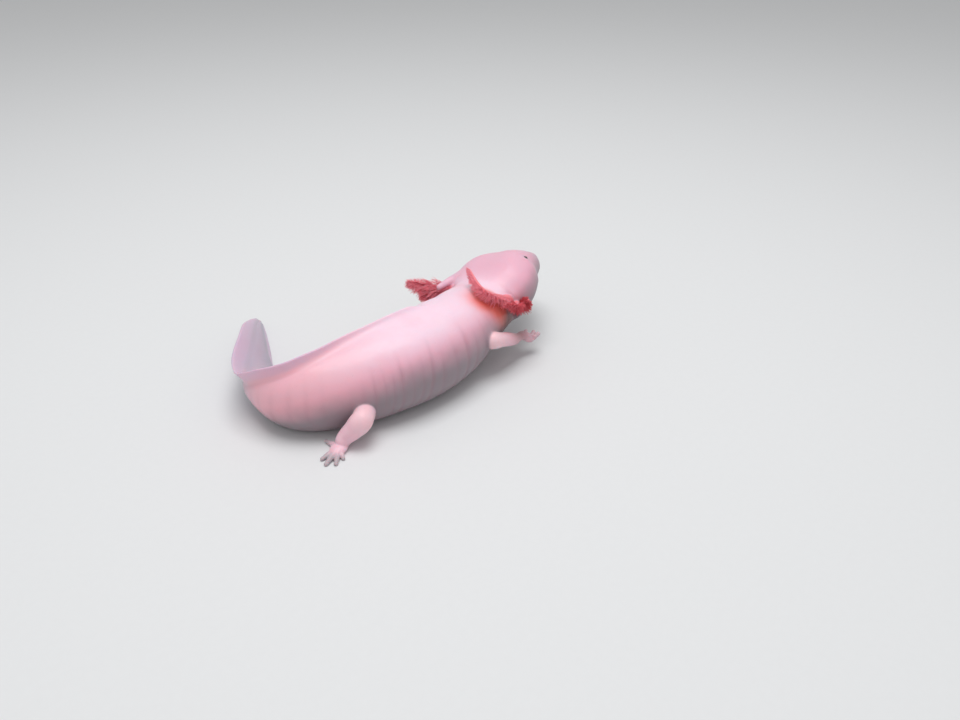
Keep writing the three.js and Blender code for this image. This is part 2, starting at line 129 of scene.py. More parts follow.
# Limbs: centre line of each, the point of it that is the elbow or knee, its radii, the place, half
# sizes, turn and tilt of its palm, and the tips and root radii of its toes.
LIMBS = [
    {
        "name": "arm_right", "bend": 1,
        "line": [
            (59.5, -9.5, 13.5), (56.4, -19.1, 16.9), (64.2, -19.2, 14.2), (69.8, -19, 12),
            (73.2, -18.4, 11.2),
        ],
        "radii": (2.6, 3.3, 2.8, 2.4, 1.9),
        "palm": (76.8, -17.8, 10.5), "size": (3.2, 2.4, 1.45), "turn": -5, "tilt": 8,
        "toes": [(81.5, -15.3, 10.5), (84.6, -17.6, 9.6), (85.2, -19.9, 9.3), (81.5, -20.6, 9.6)],
        "toe_roots": (1.15, 1.2, 1.2, 1.1),
    },
    {
        "name": "arm_left", "bend": 2,
        "line": [
            (57, 8, 14), (56.5, 16, 13), (56.5, 22.5, 9.8), (61, 25.6, 5.6), (65.4, 27.4, 3.0),
        ],
        "radii": (3.6, 3.3, 2.9, 2.5, 2.1),
        "palm": (67.6, 28.2, 1.3), "size": (3.4, 2.7, 1.5), "turn": 20, "tilt": 0,
        "toes": [
            (73.4, 24.2, TREAD), (76.2, 28.6, TREAD), (75.2, 33.0, TREAD), (70.2, 35.0, TREAD),
        ],
        "toe_roots": (1.05, 1.05, 1.05, 0.95),
    },
    {
        "name": "leg_right", "bend": 2,
        "line": [
            (2, -5, 9.6), (-3.0, -11.2, 9.8), (-8.2, -16.3, 10.6), (-11.1, -14.6, 7.1),
            (-13.9, -12.6, 3.8),
        ],
        "radii": (3.6, 3.8, 4.0, 3.5, 3.1),
        "palm": (-16.9, -12.9, 1.4), "size": (4.2, 3.1, 1.7), "turn": 207, "tilt": 0,
        "toes": [
            (-16.8, -4.6, TREAD), (-25.3, -12.9, TREAD), (-26.2, -16.5, TREAD),
            (-23.5, -19.1, TREAD), (-19.5, -18.7, TREAD),
        ],
        "toe_roots": (1.0, 1.05, 1.1, 1.05, 0.95),
    },
    {
        "name": "leg_left", "bend": 2,
        "line": [(3, 6, 11.5), (5, 16, 11.8), (6.5, 23, 10.2), (5.2, 27, 6.2), (3.8, 29.6, 3.2)],
        "radii": (4.2, 4.0, 3.6, 3.1, 2.4),
        "palm": (3.0, 32.2, 1.35), "size": (3.9, 3.0, 1.6), "turn": 104, "tilt": 0,
        "toes": [
            (9.0, 37.2, TREAD), (6.0, 40.8, TREAD), (2.2, 41.8, TREAD),
            (-1.4, 40.0, TREAD), (-3.6, 35.6, TREAD),
        ],
        "toe_roots": (0.95, 1.05, 1.1, 1.05, 1.0),
    },
]
KNUCKLE_SHARE = 0.55
KNUCKLE_HEIGHT = 0.72

# Each gill's stalk starts this far under the skin.
GILL_START = 3.0

# Gills: how much painted light their strands take, high for the lit upper gills and low for the
# lower right gills that hang in shade, where each stalk leaves the head, the way it runs, its bend,
# the way its strands hang, the radii of its stalk, the share of it where strands start, how long
# they are, how far they spread and how red the stalk is.
GILLS = [
    {
        "name": "right_1", "painted_light": 1.0, "station": 38, "angle": 12, "run": (-11.5, 14.1, 13.6),
        "arch": (-11.9, -7.1, 4.1), "hang": (-1, -0.3, -0.8), "radii": (1.2, 0.8, 0.42),
        "start": 0.1, "reach": 1.0, "spread": 1.5, "red": 1.0,
    },
    {
        "name": "right_2", "painted_light": 0.15, "station": 37.6, "angle": 0, "run": (-15, -7.5, 8),
        "arch": (-0.5, -3.7, 0.7), "hang": (-0.6, -0.3, -0.9), "radii": (1.4, 0.9, 0.45),
        "start": 0.08, "reach": 0.78, "spread": 2.3, "red": 1.0,
    },
    {
        "name": "right_3", "painted_light": 0.0, "station": 36.6, "angle": -12, "run": (-2.9, -8, 6.4),
        "arch": (1, 0, -1), "hang": (-1, 0.2, -0.3), "radii": (1.4, 0.9, 0.45),
        "start": 0.1, "reach": 0.72, "spread": 2.3, "red": 1.0,
    },
    {
        "name": "left_1", "painted_light": 1.0, "station": 29, "angle": 124, "run": (-15, 4.1, -3),
        "arch": (0.6, 1.6, -0.5), "hang": (-0.6, 0.2, -1), "radii": (2.2, 1.75, 1.1),
        "start": 0.55, "reach": 0.5, "spread": 0.6, "red": 0.0,
    },
    {
        "name": "left_2", "painted_light": 1.0, "station": 37.2, "angle": 150, "run": (-10.2, 21.1, 0),
        "arch": (-0.1, 1, -1), "hang": (-0.7, -0.7, -0.6), "radii": (1.7, 1.1, 0.45),
        "start": 0.12, "reach": 1.5, "spread": 2.1, "red": 1.0,
    },
    {
        "name": "left_3", "painted_light": 0.7, "station": 36.6, "angle": 176, "run": (-11.8, 11.9, -0.1),
        "arch": (1.1, -0.6, -0.6), "hang": (-0.5, -0.3, -0.9), "radii": (1.6, 1.0, 0.45),
        "start": 0.2, "reach": 1.05, "spread": 2.3, "red": 1.0,
    },
]

NOSTRIL_STATION = 2.2
NOSTRIL_ANGLE = 34
EYES = ("eye_right", "eye_left")

# ---------------------------------------------------------------- fineness of curves and meshes

# Steps of a smooth curve between two of its named points, and the points along each kind of line.
CURVE_STEPS = 80
LIMB_POINTS = 70
TOE_POINTS = 16
STALK_POINTS = 44
NEAR_POINTS = 40
NEAR_TOE_POINTS = 10
COMB_POINTS = 120
STRAND_POINTS = 7
STRAND_SIDES = 5

# Length of the tail's rounded tip, and the least square of a tube's share of its radius at its end.
TAIL_TIP = 1.5
TIP_LEAST = 0.004

# The limbs' surface made from cubes: rounds of smoothing, and the share of its faces that is kept.
VOXEL_SMOOTHING = 5
VOXEL_FACES_KEPT = 0.2

# Where limbs and stalks join the body: rounds of relaxing, and the pull in each round.
JOIN_ROUNDS = 9
JOIN_PULL = 0.5

# Points located at a time, and the fewest that a skin whose shells have united can have.
LOCATE_BLOCK = 20000
SKIN_LEAST_POINTS = 10000

# Bake map: width of each strand's patch, and the angle in radians that the map's height stands for.
PATCH = 0.003
COMB_SPAN = 5

# ---------------------------------------------------------------- floor, lamps and camera

FLOOR_HALF = 4.0
LAMPS = {"key": (0.5, (0.0, -0.04, 0.78)), "fill": (0.8, (-0.6, -0.7, 0.6))}
LAMP_AIM = (0, 0, 0.02)
CAMERA_PLACE = (-0.2034, -0.2483, 0.1843)
CAMERA_TILT = 59
CAMERA_TURN = -46.9

# ---------------------------------------------------------------- curves and the body's shape


def through(table):
    """Smooth curve through a table's rows: a cubic between each two rows, whose slope at a row is
    the weighted harmonic mean of the slopes on its two sides, and nothing where they differ in
    sign, so it never swings past a row."""
    rows = np.array(table, float)
    place, size = rows[:, 0], rows[:, 1]
    step = np.diff(place)
    rise = np.diff(size) / step
    slope = np.empty(len(place))
    slope[0], slope[-1] = rise[0], rise[-1]
    near = 2 * step[1:] + step[:-1]
    far = step[1:] + 2 * step[:-1]
    same = rise[:-1] * rise[1:] > 0
    front = np.where(same, rise[:-1], 1.0)
    behind = np.where(same, rise[1:], 1.0)
    slope[1:-1] = np.where(same, (near + far) / (near / front + far / behind), 0.0)

    def at(x):
        x = np.clip(np.asarray(x, float), place[0], place[-1])
        i = np.clip(np.searchsorted(place, x, side="left") - 1, 0, len(place) - 2)
        h = step[i]
        t = (x - place[i]) / h
        held = (1 + 2 * t) * (1 - t) ** 2 * size[i] + t * (1 - t) ** 2 * h * slope[i]
        return held + t * t * (3 - 2 * t) * size[i + 1] + t * t * (t - 1) * h * slope[i + 1]

    return at


half_width = through(HALF_WIDTH)
above = through(HEIGHT_ABOVE)
below = through(DEPTH_BELOW)
squareness = through(SQUARENESS)
back_fin = through(BACK_FIN)
under_fin = through(UNDER_FIN)
heading = through(HEADING)
clearance = through(CLEARANCE)
lean = through(LEAN)
costal = through(COSTAL)


def ramp(x, low, high):
    """0 below low, 1 above high, and 3t^2 - 2t^3 of the share t between them."""
    t = np.clip((x - low) / (high - low), 0, 1)
    return t * t * (3 - 2 * t)


def bell(x, width):
    """Bell curve: e to the minus square of x over width."""
    return np.exp(-((x / width) ** 2))


def lerp(a, b, share):
    """The value a given share of the way from a to b."""
    return a + (b - a) * share


def dome(x, least=0.0):
    """Height of a quarter circle at a share x of its radius: the root of 1 - x^2, whose square is
    kept from falling below a least value."""
    return np.sqrt(np.clip(1 - np.clip(x, 0, 1) ** 2, least, 1))


def follow(at, places, rows):
    """Rows of numbers that belong to places, read at other places by straight lines between."""
    return np.stack([np.interp(at, places, column) for column in rows.T], -1)


def away(points, centre):
    """Distance of each point from a centre."""
    return np.linalg.norm(points - centre, axis=-1)


def placed(points):
    """Points of a limb's tables in the part's own frame."""
    return np.array(points, float) - ORIGIN


def fin_rise(s):
    """Height of the back fin over the back: nine tenths of its table's, and all of it further on."""
    return back_fin(s) * lerp(0.9, 1, ramp(s, 78, 100))


STRIDE = 0.1
STEPS = np.arange(0, LENGTH + STRIDE / 2, STRIDE)
WAY = np.radians(heading(STEPS[1:] - STRIDE / 2))
STRIDES = STRIDE * np.stack([np.cos(WAY), np.sin(WAY)], 1)
COURSE = np.vstack([[0.0, 0.0], -np.cumsum(STRIDES, axis=0)])
COURSE -= COURSE[round(ANCHOR / STRIDE)]


def spine(s):
    """Spine point: the running sum of the heading in plan, and in height the clearance plus the
    depth of the leaning section and its under fin."""
    s = np.clip(s, 0, LENGTH)
    fin = np.maximum(under_fin(s) - UNDER_FIN_TRACE, 0) * UNDER_FIN_LIFT
    height = clearance(s) + (below(s) + fin) * np.cos(np.radians(lean(s)))
    plan = [np.interp(s, STEPS, COURSE[:, k]) for k in (0, 1)]
    return np.stack([*plan, height], -1) - ORIGIN


def unit(v):
    """A vector, or an array of them, scaled to length 1."""
    return v / np.linalg.norm(v, axis=-1, keepdims=True)


def frame_at(s):
    """Spine point, and forward, right and up there. Forward is the chord over a millimetre, and
    right and up are turned about it by the lean."""
    s = np.asarray(s, float)
    forward = unit(spine(np.maximum(s - 0.5, 0)) - spine(np.minimum(s + 0.5, LENGTH)))
    level = unit(np.cross(forward, [0.0, 0.0, 1.0]))
    upright = np.cross(level, forward)
    turn = np.radians(lean(s))[..., None]
    up = upright * np.cos(turn) + level * np.sin(turn)
    right = level * np.cos(turn) - upright * np.sin(turn)
    return spine(s), forward, right, up


def skin_point(s, angle, outside=0.0):
    """Point of the bare body: superellipse at station s, degrees up from the animal's right."""
    at, _, right, up = frame_at(s)
    power = 2 / squareness(s)
    c, z = np.cos(np.radians(angle)), np.sin(np.radians(angle))
    across = np.sign(c) * np.abs(c) ** power * (half_width(s) + outside)
    high = np.sign(z) * np.abs(z) ** power * (np.where(z > 0, above(s), below(s)) + outside)
    return at + right * across + up * high


def smooth_path(points, count):
    """Centripetal Catmull-Rom curve through points: between two points, a cubic whose tangents
    weigh the neighbouring chords by the root of their lengths. Resampled at even arc length."""
    p = np.asarray(points, float)
    ends = np.vstack([2 * p[0] - p[1], p, 2 * p[-1] - p[-2]])
    gaps = np.sqrt(np.linalg.norm(np.diff(ends, axis=0), axis=1))
    a, b, c = gaps[:-2, None], gaps[1:-1, None], gaps[2:, None]
    p0, p1, p2, p3 = ends[:-3], ends[1:-2], ends[2:-1], ends[3:]
    leave = ((p1 - p0) / a - (p2 - p0) / (a + b) + (p2 - p1) / b) * b
    arrive = ((p2 - p1) / b - (p3 - p1) / (b + c) + (p3 - p2) / c) * b
    t = np.linspace(0, 1, CURVE_STEPS, endpoint=False)[None, :, None]
    fine = (2 * t**3 - 3 * t**2 + 1) * p1[:, None] + (t**3 - 2 * t**2 + t) * leave[:, None]
    fine = fine + (3 * t**2 - 2 * t**3) * p2[:, None] + (t**3 - t**2) * arrive[:, None]
    fine = np.vstack([fine.reshape(-1, 3), p[-1:]])
    run = np.concatenate([[0], np.cumsum(np.linalg.norm(np.diff(fine, axis=0), axis=1))])
    return follow(np.linspace(0, run[-1], count), run, fine)


def locate(points):
    """Body coordinates of points: the station whose section plane holds each point, from the
    nearest spine sample and two steps along the spine, then the offsets to the right and up."""
    samples = np.arange(0, LENGTH + 1, 1.0)
    centres = spine(samples)
    nearest = np.empty(len(points), int)
    for start in range(0, len(points), LOCATE_BLOCK):
        part = points[start : start + LOCATE_BLOCK]
        gap = (part**2).sum(1)[:, None] - 2 * part @ centres.T + (centres**2).sum(1)
        nearest[start : start + LOCATE_BLOCK] = gap.argmin(1)
    s = samples[nearest]
    for _ in range(2):
        at, forward, _, _ = frame_at(s)
        s = np.clip(s - 0.8 * ((points - at) * forward).sum(1), 0, LENGTH)
    at, _, right, up = frame_at(s)
    out = points - at
    return s, (out * right).sum(1), (out * up).sum(1)


def height_over_skin(points):
    """How far points stand outside the bare body: the superellipse level minus 1, times the
    smaller half size of the section there."""
    s, across, high = locate(points)
    tall = np.where(high > 0, above(s), below(s))
    n = squareness(s)
    level = ((np.abs(across) / half_width(s)) ** n + (np.abs(high) / tall) ** n) ** (1 / n)
    return (level - 1) * np.minimum(half_width(s), tall)


# ---------------------------------------------------------------- folds and swellings


def relief(s, lift, side, sizes):
    """Height of folds and swellings over the bare body in mm, and how deep in a fold each point
    lies, from 0 to 1. Each is a bell or a power of a cosine across the fold, times ramps that end
    it. s is the station, lift the angle up from the flank in degrees and side +1 on the right."""
    turn = np.radians(lift)
    down = below(s) * turn
    across = half_width(s) * np.cos(turn)

    # Grooves between the ribs, from the flank's top to the belly.
    count = costal(s + 1.4 * np.sin(turn))
    count = count + 0.07 * np.sin(turn * 2.2 + 1.7 * np.round(count) + side)
    dip = (0.5 + 0.5 * np.cos(2 * np.pi * count)) ** 3
    highest = 22 + 10 * np.sin(2.3 * np.round(count) + side)
    flank = ramp(lift, -85, -50) * (1 - ramp(lift - highest, -26, 18)) * ramp(s, 55, 66)
    flank = flank * (1 - ramp(s, 112, 121))
    uneven = 0.75 + 0.25 * np.sin(1.9 * np.round(count) + 2 * side)
    uneven = uneven + 0.12 * np.sin(lift / 9 + count)
    height = sizes.groove_depth / MM * flank * (0.3 - dip * uneven)
    hollow = 0.6 * flank * dip * uneven

    # Fainter chevrons along the tail.
    chevron = (0.5 + 0.5 * np.cos(2 * np.pi * (s / 4.1 + 0.55 * np.abs(np.sin(turn))))) ** 4
    tail = ramp(s, 120, 134) * (1 - 0.75 * ramp(s, 146, 160)) * (1 - ramp(s, 192, 208))
    tail = tail * np.cos(turn) ** 2
    height = height - 0.14 * chevron * tail
    hollow = hollow + 0.35 * chevron * tail

    # Mouth: a line round the snout, turned up at its corner behind the eye.
    line = below(s) * np.radians(-13 - 7 * ramp(s, 2, 15) + 9 * ramp(s, 18, 23))
    mouth = 1 - ramp(s, 21.5, 23.5)
    lip = down - line
    height = height - sizes.mouth_depth / MM * bell(lip, 0.34) * mouth
    height = height + 0.16 * bell(lip - 0.75, 0.5) * mouth
    height = height - 0.28 * (1 - ramp(lip, -0.9, -0.2)) * ramp(lift, -80, -45) * mouth * bell(s, 9)
    hollow = hollow + 1.0 * bell(lip, 0.3) * mouth

    # Jaw muscle, the swellings of the crown and the furrow between them.
    height = height + 0.5 * bell(s - 27, 6) * bell(lift - 4, 26)
    height = height + 0.4 * bell(s - 26, 9) * bell(lift - 62, 16)
    furrow = 0.35 * bell(across, 2.6) * ramp(lift, 40, 75) * ramp(s, 12, 20)
    height = height - furrow * (1 - ramp(s, 50, 60))
    height = height - 0.3 * bell(s - 15.5, 3.2) * bell(lift - 68, 12)

    # The fold where the head ends, deepest at the gill slits, and the throat fold below.
    fold = s - 39.6 - 1.5 * np.cos(2 * turn)
    slit = 1 - ramp(np.abs(lift + 6), 22, 50)
    height = height - sizes.fold_depth / MM * bell(fold, 1.0) * slit
    height = height + 0.28 * bell(fold + 1.9, 1.2) * slit
    hollow = hollow + 0.75 * bell(fold, 0.9) * slit
    throat = s - 32.5 + 3 * ramp(lift, -90, -35)
    height = height - 0.45 * bell(throat, 0.8) * (1 - ramp(lift, -40, -18))
    hollow = hollow + 0.6 * bell(throat, 0.8) * (1 - ramp(lift, -40, -18))

    # Soft creases over the neck and in front of the thighs, and the flesh's slow unevenness.
    neck = (0.5 + 0.5 * np.cos(2 * np.pi * s / 3.3)) ** 3 * ramp(s, 42, 46) * (1 - ramp(s, 54, 60))
    height = height - 0.12 * neck * (1 - ramp(lift, 25, 60)) * ramp(lift, -80, -50)
    height = height + 0.16 * np.sin(s / 5.3 + side) * np.sin(lift / 17 + s / 11)
    return height, np.clip(hollow, 0, 1)


# ---------------------------------------------------------------- grids and meshes


def ring_faces(rows, cols):
    """Faces over rings of points that are numbered ring by ring: quads between neighbouring rings,
    and a fan on the first and the last ring to the two points numbered after them all."""
    index = np.arange(rows * cols).reshape(rows, cols)
    turned = np.roll(index, -1, axis=1)
    quads = np.stack([index[:-1], turned[:-1], turned[1:], index[1:]], -1).reshape(-1, 4)
    first = np.stack([np.full(cols, rows * cols), turned[0], index[0]], -1)
    last = np.stack([np.full(cols, rows * cols + 1), index[-1], turned[-1]], -1)
    return quads, np.vstack([first, last])


def spokes(first, second, count):
    """Vectors at even angles round a ring: cos times the first axis plus sin times the second."""
    angle = np.linspace(0, 2 * np.pi, count, endpoint=False)[:, None]
    return first[..., None, :] * np.cos(angle) + second[..., None, :] * np.sin(angle)


def loft(points):
    """Closed shell over rings of points, with a fan to the mean of the first and of the last ring.
    The faces are turned if the shell's volume comes out negative."""
    quads, fans = ring_faces(*points.shape[:2])
    vertices = np.vstack([points.reshape(-1, 3), points[0].mean(0), points[-1].mean(0)])
    corner = vertices - vertices.mean(0)
    a, b, c, d = (corner[quads[:, k]] for k in range(4))
    volume = (a * (np.cross(b, c) + np.cross(c, d))).sum()
    faces = quads.tolist() + fans.tolist()
    if volume < 0:
        faces = [face[::-1] for face in faces]
    return vertices, faces


def joined(shells):
    """Several shells as one list of vertices and faces."""
    vertices, faces, start = [], [], 0
    for points, rings in shells:
        vertices.append(points)
        faces.extend([[start + i for i in face] for face in rings])
        start += len(points)
    return np.vstack(vertices), faces


def new_object(name, data):
    """An object of the scene that holds a mesh, a lamp or a camera."""
    obj = bpy.data.objects.new(name, data)
    bpy.context.scene.collection.objects.link(obj)
    return obj


def mesh_object(name, vertices, faces, scale=1.0):
    """An object at the origin that holds the given surface, shaded smooth."""
    mesh = bpy.data.meshes.new(name)
    mesh.from_pydata((np.asarray(vertices) * scale).tolist(), [], faces)
    mesh.polygons.foreach_set("use_smooth", np.ones(len(mesh.polygons), bool))
    mesh.update()
    return new_object(name, mesh)


def worked_mesh(obj):
    """The object's mesh with its modifiers carried out; the object itself is removed."""
    bpy.context.view_layer.update()
    graph = bpy.context.evaluated_depsgraph_get()
    mesh = bpy.data.meshes.new_from_object(obj.evaluated_get(graph))
    bpy.data.objects.remove(obj)
    return mesh


def corners(mesh):
    """The mesh's vertices as an array."""
    flat = np.empty(len(mesh.vertices) * 3, np.float32)
    mesh.vertices.foreach_get("co", flat)
    return flat.reshape(-1, 3).astype(float)


def relaxed(mesh, points, weight, rounds):
    """Points moved, in each round, by their weight towards the mean of their neighbours."""
    ends = np.empty(len(mesh.edges) * 2, np.int32)
    mesh.edges.foreach_get("vertices", ends)
    a, b = ends.reshape(-1, 2).T
    size = len(points)
    count = np.maximum(np.bincount(ends, minlength=size), 1)[:, None]
    for _ in range(rounds):
        sums = [np.bincount(a, p[b], size) + np.bincount(b, p[a], size) for p in points.T]
        points = points + weight[:, None] * (np.stack(sums, 1) / count - points)
    return points


def set_attribute(mesh, name, values):
    """Stores one number for each vertex, for the materials to read."""
    layer = mesh.attributes.new(name, "FLOAT", "POINT")
    layer.data.foreach_set("value", np.asarray(values, np.float32))


# ---------------------------------------------------------------- the skin's shells


def body_stations():
    """Stations of the body's rings: crowded at the snout as 1 - cos, close over the head, wider
    over the trunk, and crowded again at the tail's tip."""
    snout = 1 - np.cos(np.linspace(0.15, np.pi / 2, 7))
    head = np.linspace(1, 40, 114)[1:]
    trunk = np.linspace(40, 126, 140)[1:]
    tail = np.linspace(126, LENGTH - TAIL_TIP, 150)[1:]
    tip = LENGTH - TAIL_TIP + TAIL_TIP * np.sin(np.linspace(0, np.pi / 2 - 0.15, 7))[1:]
    return np.concatenate([snout, head, trunk, tail, tip])


def body_section(s, around):
    """Offsets right and up of the body's outline, with its angle up the flank. Over the middle of
    its course the outline is a superellipse. At the top and bottom, where the fins are, it runs
    straight up the fin's side, thinner towards its rounded edge and flared at its root."""
    side = np.where(around < 0.5, 1.0, -1.0)
    half = np.where(around < 0.5, 2 * around, 2 - 2 * around)
    top = lerp(0.03, 0.15, ramp(s, 50, 84))
    low = lerp(0.03, 0.13, ramp(s, 124, 150))
    arc = np.clip((half - top) / (1 - top - low), 0, 1)
    crowd = 0.45 * (1 - ramp(s, 22, 40)) / (2 * np.pi)
    arc = arc - crowd * (np.sin(2 * np.pi * (arc - 0.58)) + np.sin(2 * np.pi * 0.58))
    end = dome(1 - s) * dome((s - LENGTH + TAIL_TIP) / TAIL_TIP)
    wide, tall, deep = half_width(s), above(s), below(s)
    power = 2 / squareness(s)
    thick = np.minimum(FIN_ROOT_MOST, FIN_ROOT_LEAST + FIN_ROOT_SHARE * wide)
    soft = 1 - ramp(s, 84, 132)
    flare = np.minimum(thick + FIN_FILLET + 2.2 * soft, 0.6 * wide)
    root = np.degrees(np.arcsin((flare / wide) ** (1 / power)))
    lift = lerp(90 - root, root - 90, arc)
    over = np.clip(half / top, 0, 1)
    under = np.clip((1 - half) / low, 0, 1)
    lift = np.where(half < top, 90 - root * over, lift)
    lift = np.where(half > 1 - low, root * under - 90, lift)
    c, z = np.cos(np.radians(lift)), np.sin(np.radians(lift))
    across = wide * np.abs(c) ** power
    high = np.sign(z) * np.abs(z) ** power * np.where(z > 0, tall, deep)
    for share, size, fin, fade, way in (
        (over, tall, fin_rise(s), ramp(s, *BACK_FIN_START), 1),
        (under, deep, under_fin(s), ramp(s, *UNDER_FIN_START), -1),
    ):
        on = (half < top) if way > 0 else (half > 1 - low)
        base = size * np.cos(np.radians(root)) ** power
        level = lerp(size + FIN_GAP + fin, base, share**1.15)
        blade = dome(1 - share / 0.14) * lerp(FIN_EDGE, thick, share)
        blade = blade + (flare - thick) * share ** (5 - 2.6 * soft)
        across = np.where(on, lerp(across, blade, fade), across)
        high = np.where(on, lerp(high, way * level, fade), high)
    return side * across * end, high * end, lift, side


def grid_normals(points):
    """Unit normals of a grid that closes round: the cross product of its two gradients."""
    along = np.gradient(points, axis=0)
    about = np.roll(points, -1, axis=1) - np.roll(points, 1, axis=1)
    normal = np.cross(about, along)
    return normal / np.maximum(np.linalg.norm(normal, axis=-1, keepdims=True), 1e-9)


def eye_balls():
    """Centre and radius in mm of each eye, from the box of its solid."""
    found = []
    for node in EYES:
        low, high = (np.array(corner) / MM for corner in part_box(node))
        found.append(((low + high) / 2, (high - low).max() / 2))
    return found


def nostrils():
    """Centre of each nostril, on the front of the snout."""
    return [skin_point(NOSTRIL_STATION, angle) for angle in (NOSTRIL_ANGLE, 180 - NOSTRIL_ANGLE)]


def body_shell(sizes):
    """The trunk, head, tail and fins: each ring is the section at its station, pushed out by the
    relief along its normals, with rims round the eyes and pits for the nostrils."""
    s = body_stations()[:, None]
    around = (np.arange(sizes.body_columns) / sizes.body_columns)[None, :]
    across, high, lift, side = body_section(s, around)
    at, _, right, up = frame_at(s[:, 0])
    points = at[:, None] + right[:, None] * across[..., None] + up[:, None] * high[..., None]
    normals = grid_normals(points)
    out = ((points - at[:, None]) * normals).sum((1, 2)).mean()
    normals = normals * np.sign(out)
    height, _ = relief(s + 0 * lift, lift, side + 0 * lift, sizes)
    height = height * ramp(s, 0.2, 2.5) * (1 - ramp(s, LENGTH - 8, LENGTH - 2))
    fins = np.maximum(
        ramp(high - above(s), -0.4, 0.4) * ramp(s, *BACK_FIN_START),
        ramp(-high - below(s), -0.4, 0.4) * ramp(s, *UNDER_FIN_START),
    )
    height = height * (1 - fins)
    for centre, radius in eye_balls():
        far = away(points, centre)
        height = height + sizes.eye_rim / MM * bell(far - radius - 0.35, 0.4)
        height = height - 0.14 * bell(far - radius - 1.6, 0.7)
    for centre in nostrils():
        far = away(points, centre)
        height = height - 0.34 * bell(far, 0.36) + 0.12 * bell(far - 0.75, 0.35)
    return loft(points + normals * height[..., None])


def tube(path, radii, around, flare=0.0):
    """A tube along a path: at each point a ring, wider by the flare where it nears the bare body,
    which falls off as e to the minus height over the skin. It ends in a dome, whose rings shrink
    as the root of 1 - x^2."""
    rows = len(path)
    forward = unit(np.gradient(path, axis=0))
    plane = np.cross(path[rows // 2] - path[0], path[-1] - path[rows // 2])
    if np.linalg.norm(plane) < 1e-3:
        plane = np.cross(path[-1] - path[0], [0.3, 0.2, 1.0])
    first = unit(plane - (forward * plane).sum(1)[:, None] * forward)
    second = np.cross(forward, first)
    radius = np.interp(np.linspace(0, 1, rows), np.linspace(0, 1, len(radii)), radii)
    run = np.concatenate([[0], np.cumsum(np.linalg.norm(np.diff(path, axis=0), axis=1))])
    radius = radius * dome(1 - (run[-1] - run) / radius[-1], TIP_LEAST)
    spoke = spokes(first, second, around)
    points = path[:, None] + spoke * radius[:, None, None]
    if flare > 0:
        over = height_over_skin(points.reshape(-1, 3)).reshape(rows, around)
        wider = flare * np.exp(-np.maximum(over, 0) / flare)
        points = points + unit(spoke) * wider[..., None]
    return loft(points)


def ball(centre, size, turn=0.0, tilt=0.0, rows=24, around=36):
    """An ellipsoid from a sphere's rings, scaled, tilted about Y, turned about Z and moved."""
    polar = np.linspace(0.06, np.pi - 0.06, rows)[:, None]
    angle = np.linspace(0, 2 * np.pi, around, endpoint=False)[None, :]
    x, y = np.sin(polar) * np.cos(angle), np.sin(polar) * np.sin(angle)
    points = np.stack([x, y, np.cos(polar) + 0 * angle], -1) * np.asarray(size)
    a, b = np.radians(tilt), np.radians(turn)
    about_y = np.array([[np.cos(a), 0, np.sin(a)], [0, 1, 0], [-np.sin(a), 0, np.cos(a)]])
    about_z = np.array([[np.cos(b), -np.sin(b), 0], [np.sin(b), np.cos(b), 0], [0, 0, 1]])
    return loft(points @ (about_z @ about_y).T + centre)


def limb_path(limb, count=LIMB_POINTS):
    """Points along a limb's centre line, from inside the body to the middle of its palm."""
    return smooth_path(placed([*limb["line"], limb["palm"]]), count)


def limb_radii(limb):
    """Radii along a limb: through its named radii, fuller at the muscle of each half and narrower
    at the joint and wrist, as a sum of bells."""
    share = np.linspace(0, 1, LIMB_POINTS)
    radii = [*limb["radii"], limb["size"][2] * 1.05]
    run = np.linalg.norm(np.diff([*limb["line"], limb["palm"]], axis=0), axis=1)
    place = np.concatenate([[0], np.cumsum(run)]) / run.sum()
    named = through(list(zip(place, radii)))
    swell = 0.05 * bell(share - 0.32, 0.11) + 0.06 * bell(share - 0.64, 0.1)
    pinch = 0.05 * bell(share - 0.48, 0.05) + 0.05 * bell(share - 0.86, 0.05)
    return named(share) * (1 + swell - pinch)


def toe_path(palm, tip, count=TOE_POINTS):
    """Points along a toe, from the palm over its knuckle to its tip."""
    palm, tip = np.array(palm, float), np.array(tip, float)
    knuckle = lerp(palm, tip, KNUCKLE_SHARE)
    knuckle[2] = max(palm[2], tip[2]) * KNUCKLE_HEIGHT
    return smooth_path(placed([palm, knuckle, tip]), count)


def limb_shells(limb, sizes):
    """A limb's tube, its palm and its toes, each a closed shell; each toe is a little swollen at
    its root, its knuckle and its tip."""
    shells = [tube(limb_path(limb), limb_radii(limb), around=40, flare=sizes.root_flare / MM)]
    shells.append(ball(placed(limb["palm"]), limb["size"], limb["turn"], limb["tilt"]))
    share = np.linspace(0, 1, TOE_POINTS)
    for tip, root in zip(limb["toes"], limb["toe_roots"]):
        radii = 1.12 * root * (1 - 0.4 * share) * (1 + 0.12 * bell(share - 0.62, 0.1))
        radii = radii * (1 + 0.3 * (1 - ramp(share, 0.25, 0.55)))
        radii = radii + 0.06 * bell(share - 0.95, 0.08)
        shells.append(tube(toe_path(limb["palm"], tip), radii, around=20))
    return shells


def gill_path(gill, count=STALK_POINTS):
    """Points along a gill's stalk, from inside the head to its tip."""
    root = skin_point(float(gill["station"]), float(gill["angle"]), -GILL_START)
    way = np.array(gill["run"], float)
    return smooth_path([root, root + way / 2 + np.array(gill["arch"], float), root + way], count)


def gill_radii(gill, share):
    """Radius of a gill's stalk at a share of its length, through its three radii."""
    return through(list(zip((0, 0.5, 1), gill["radii"])))(share)


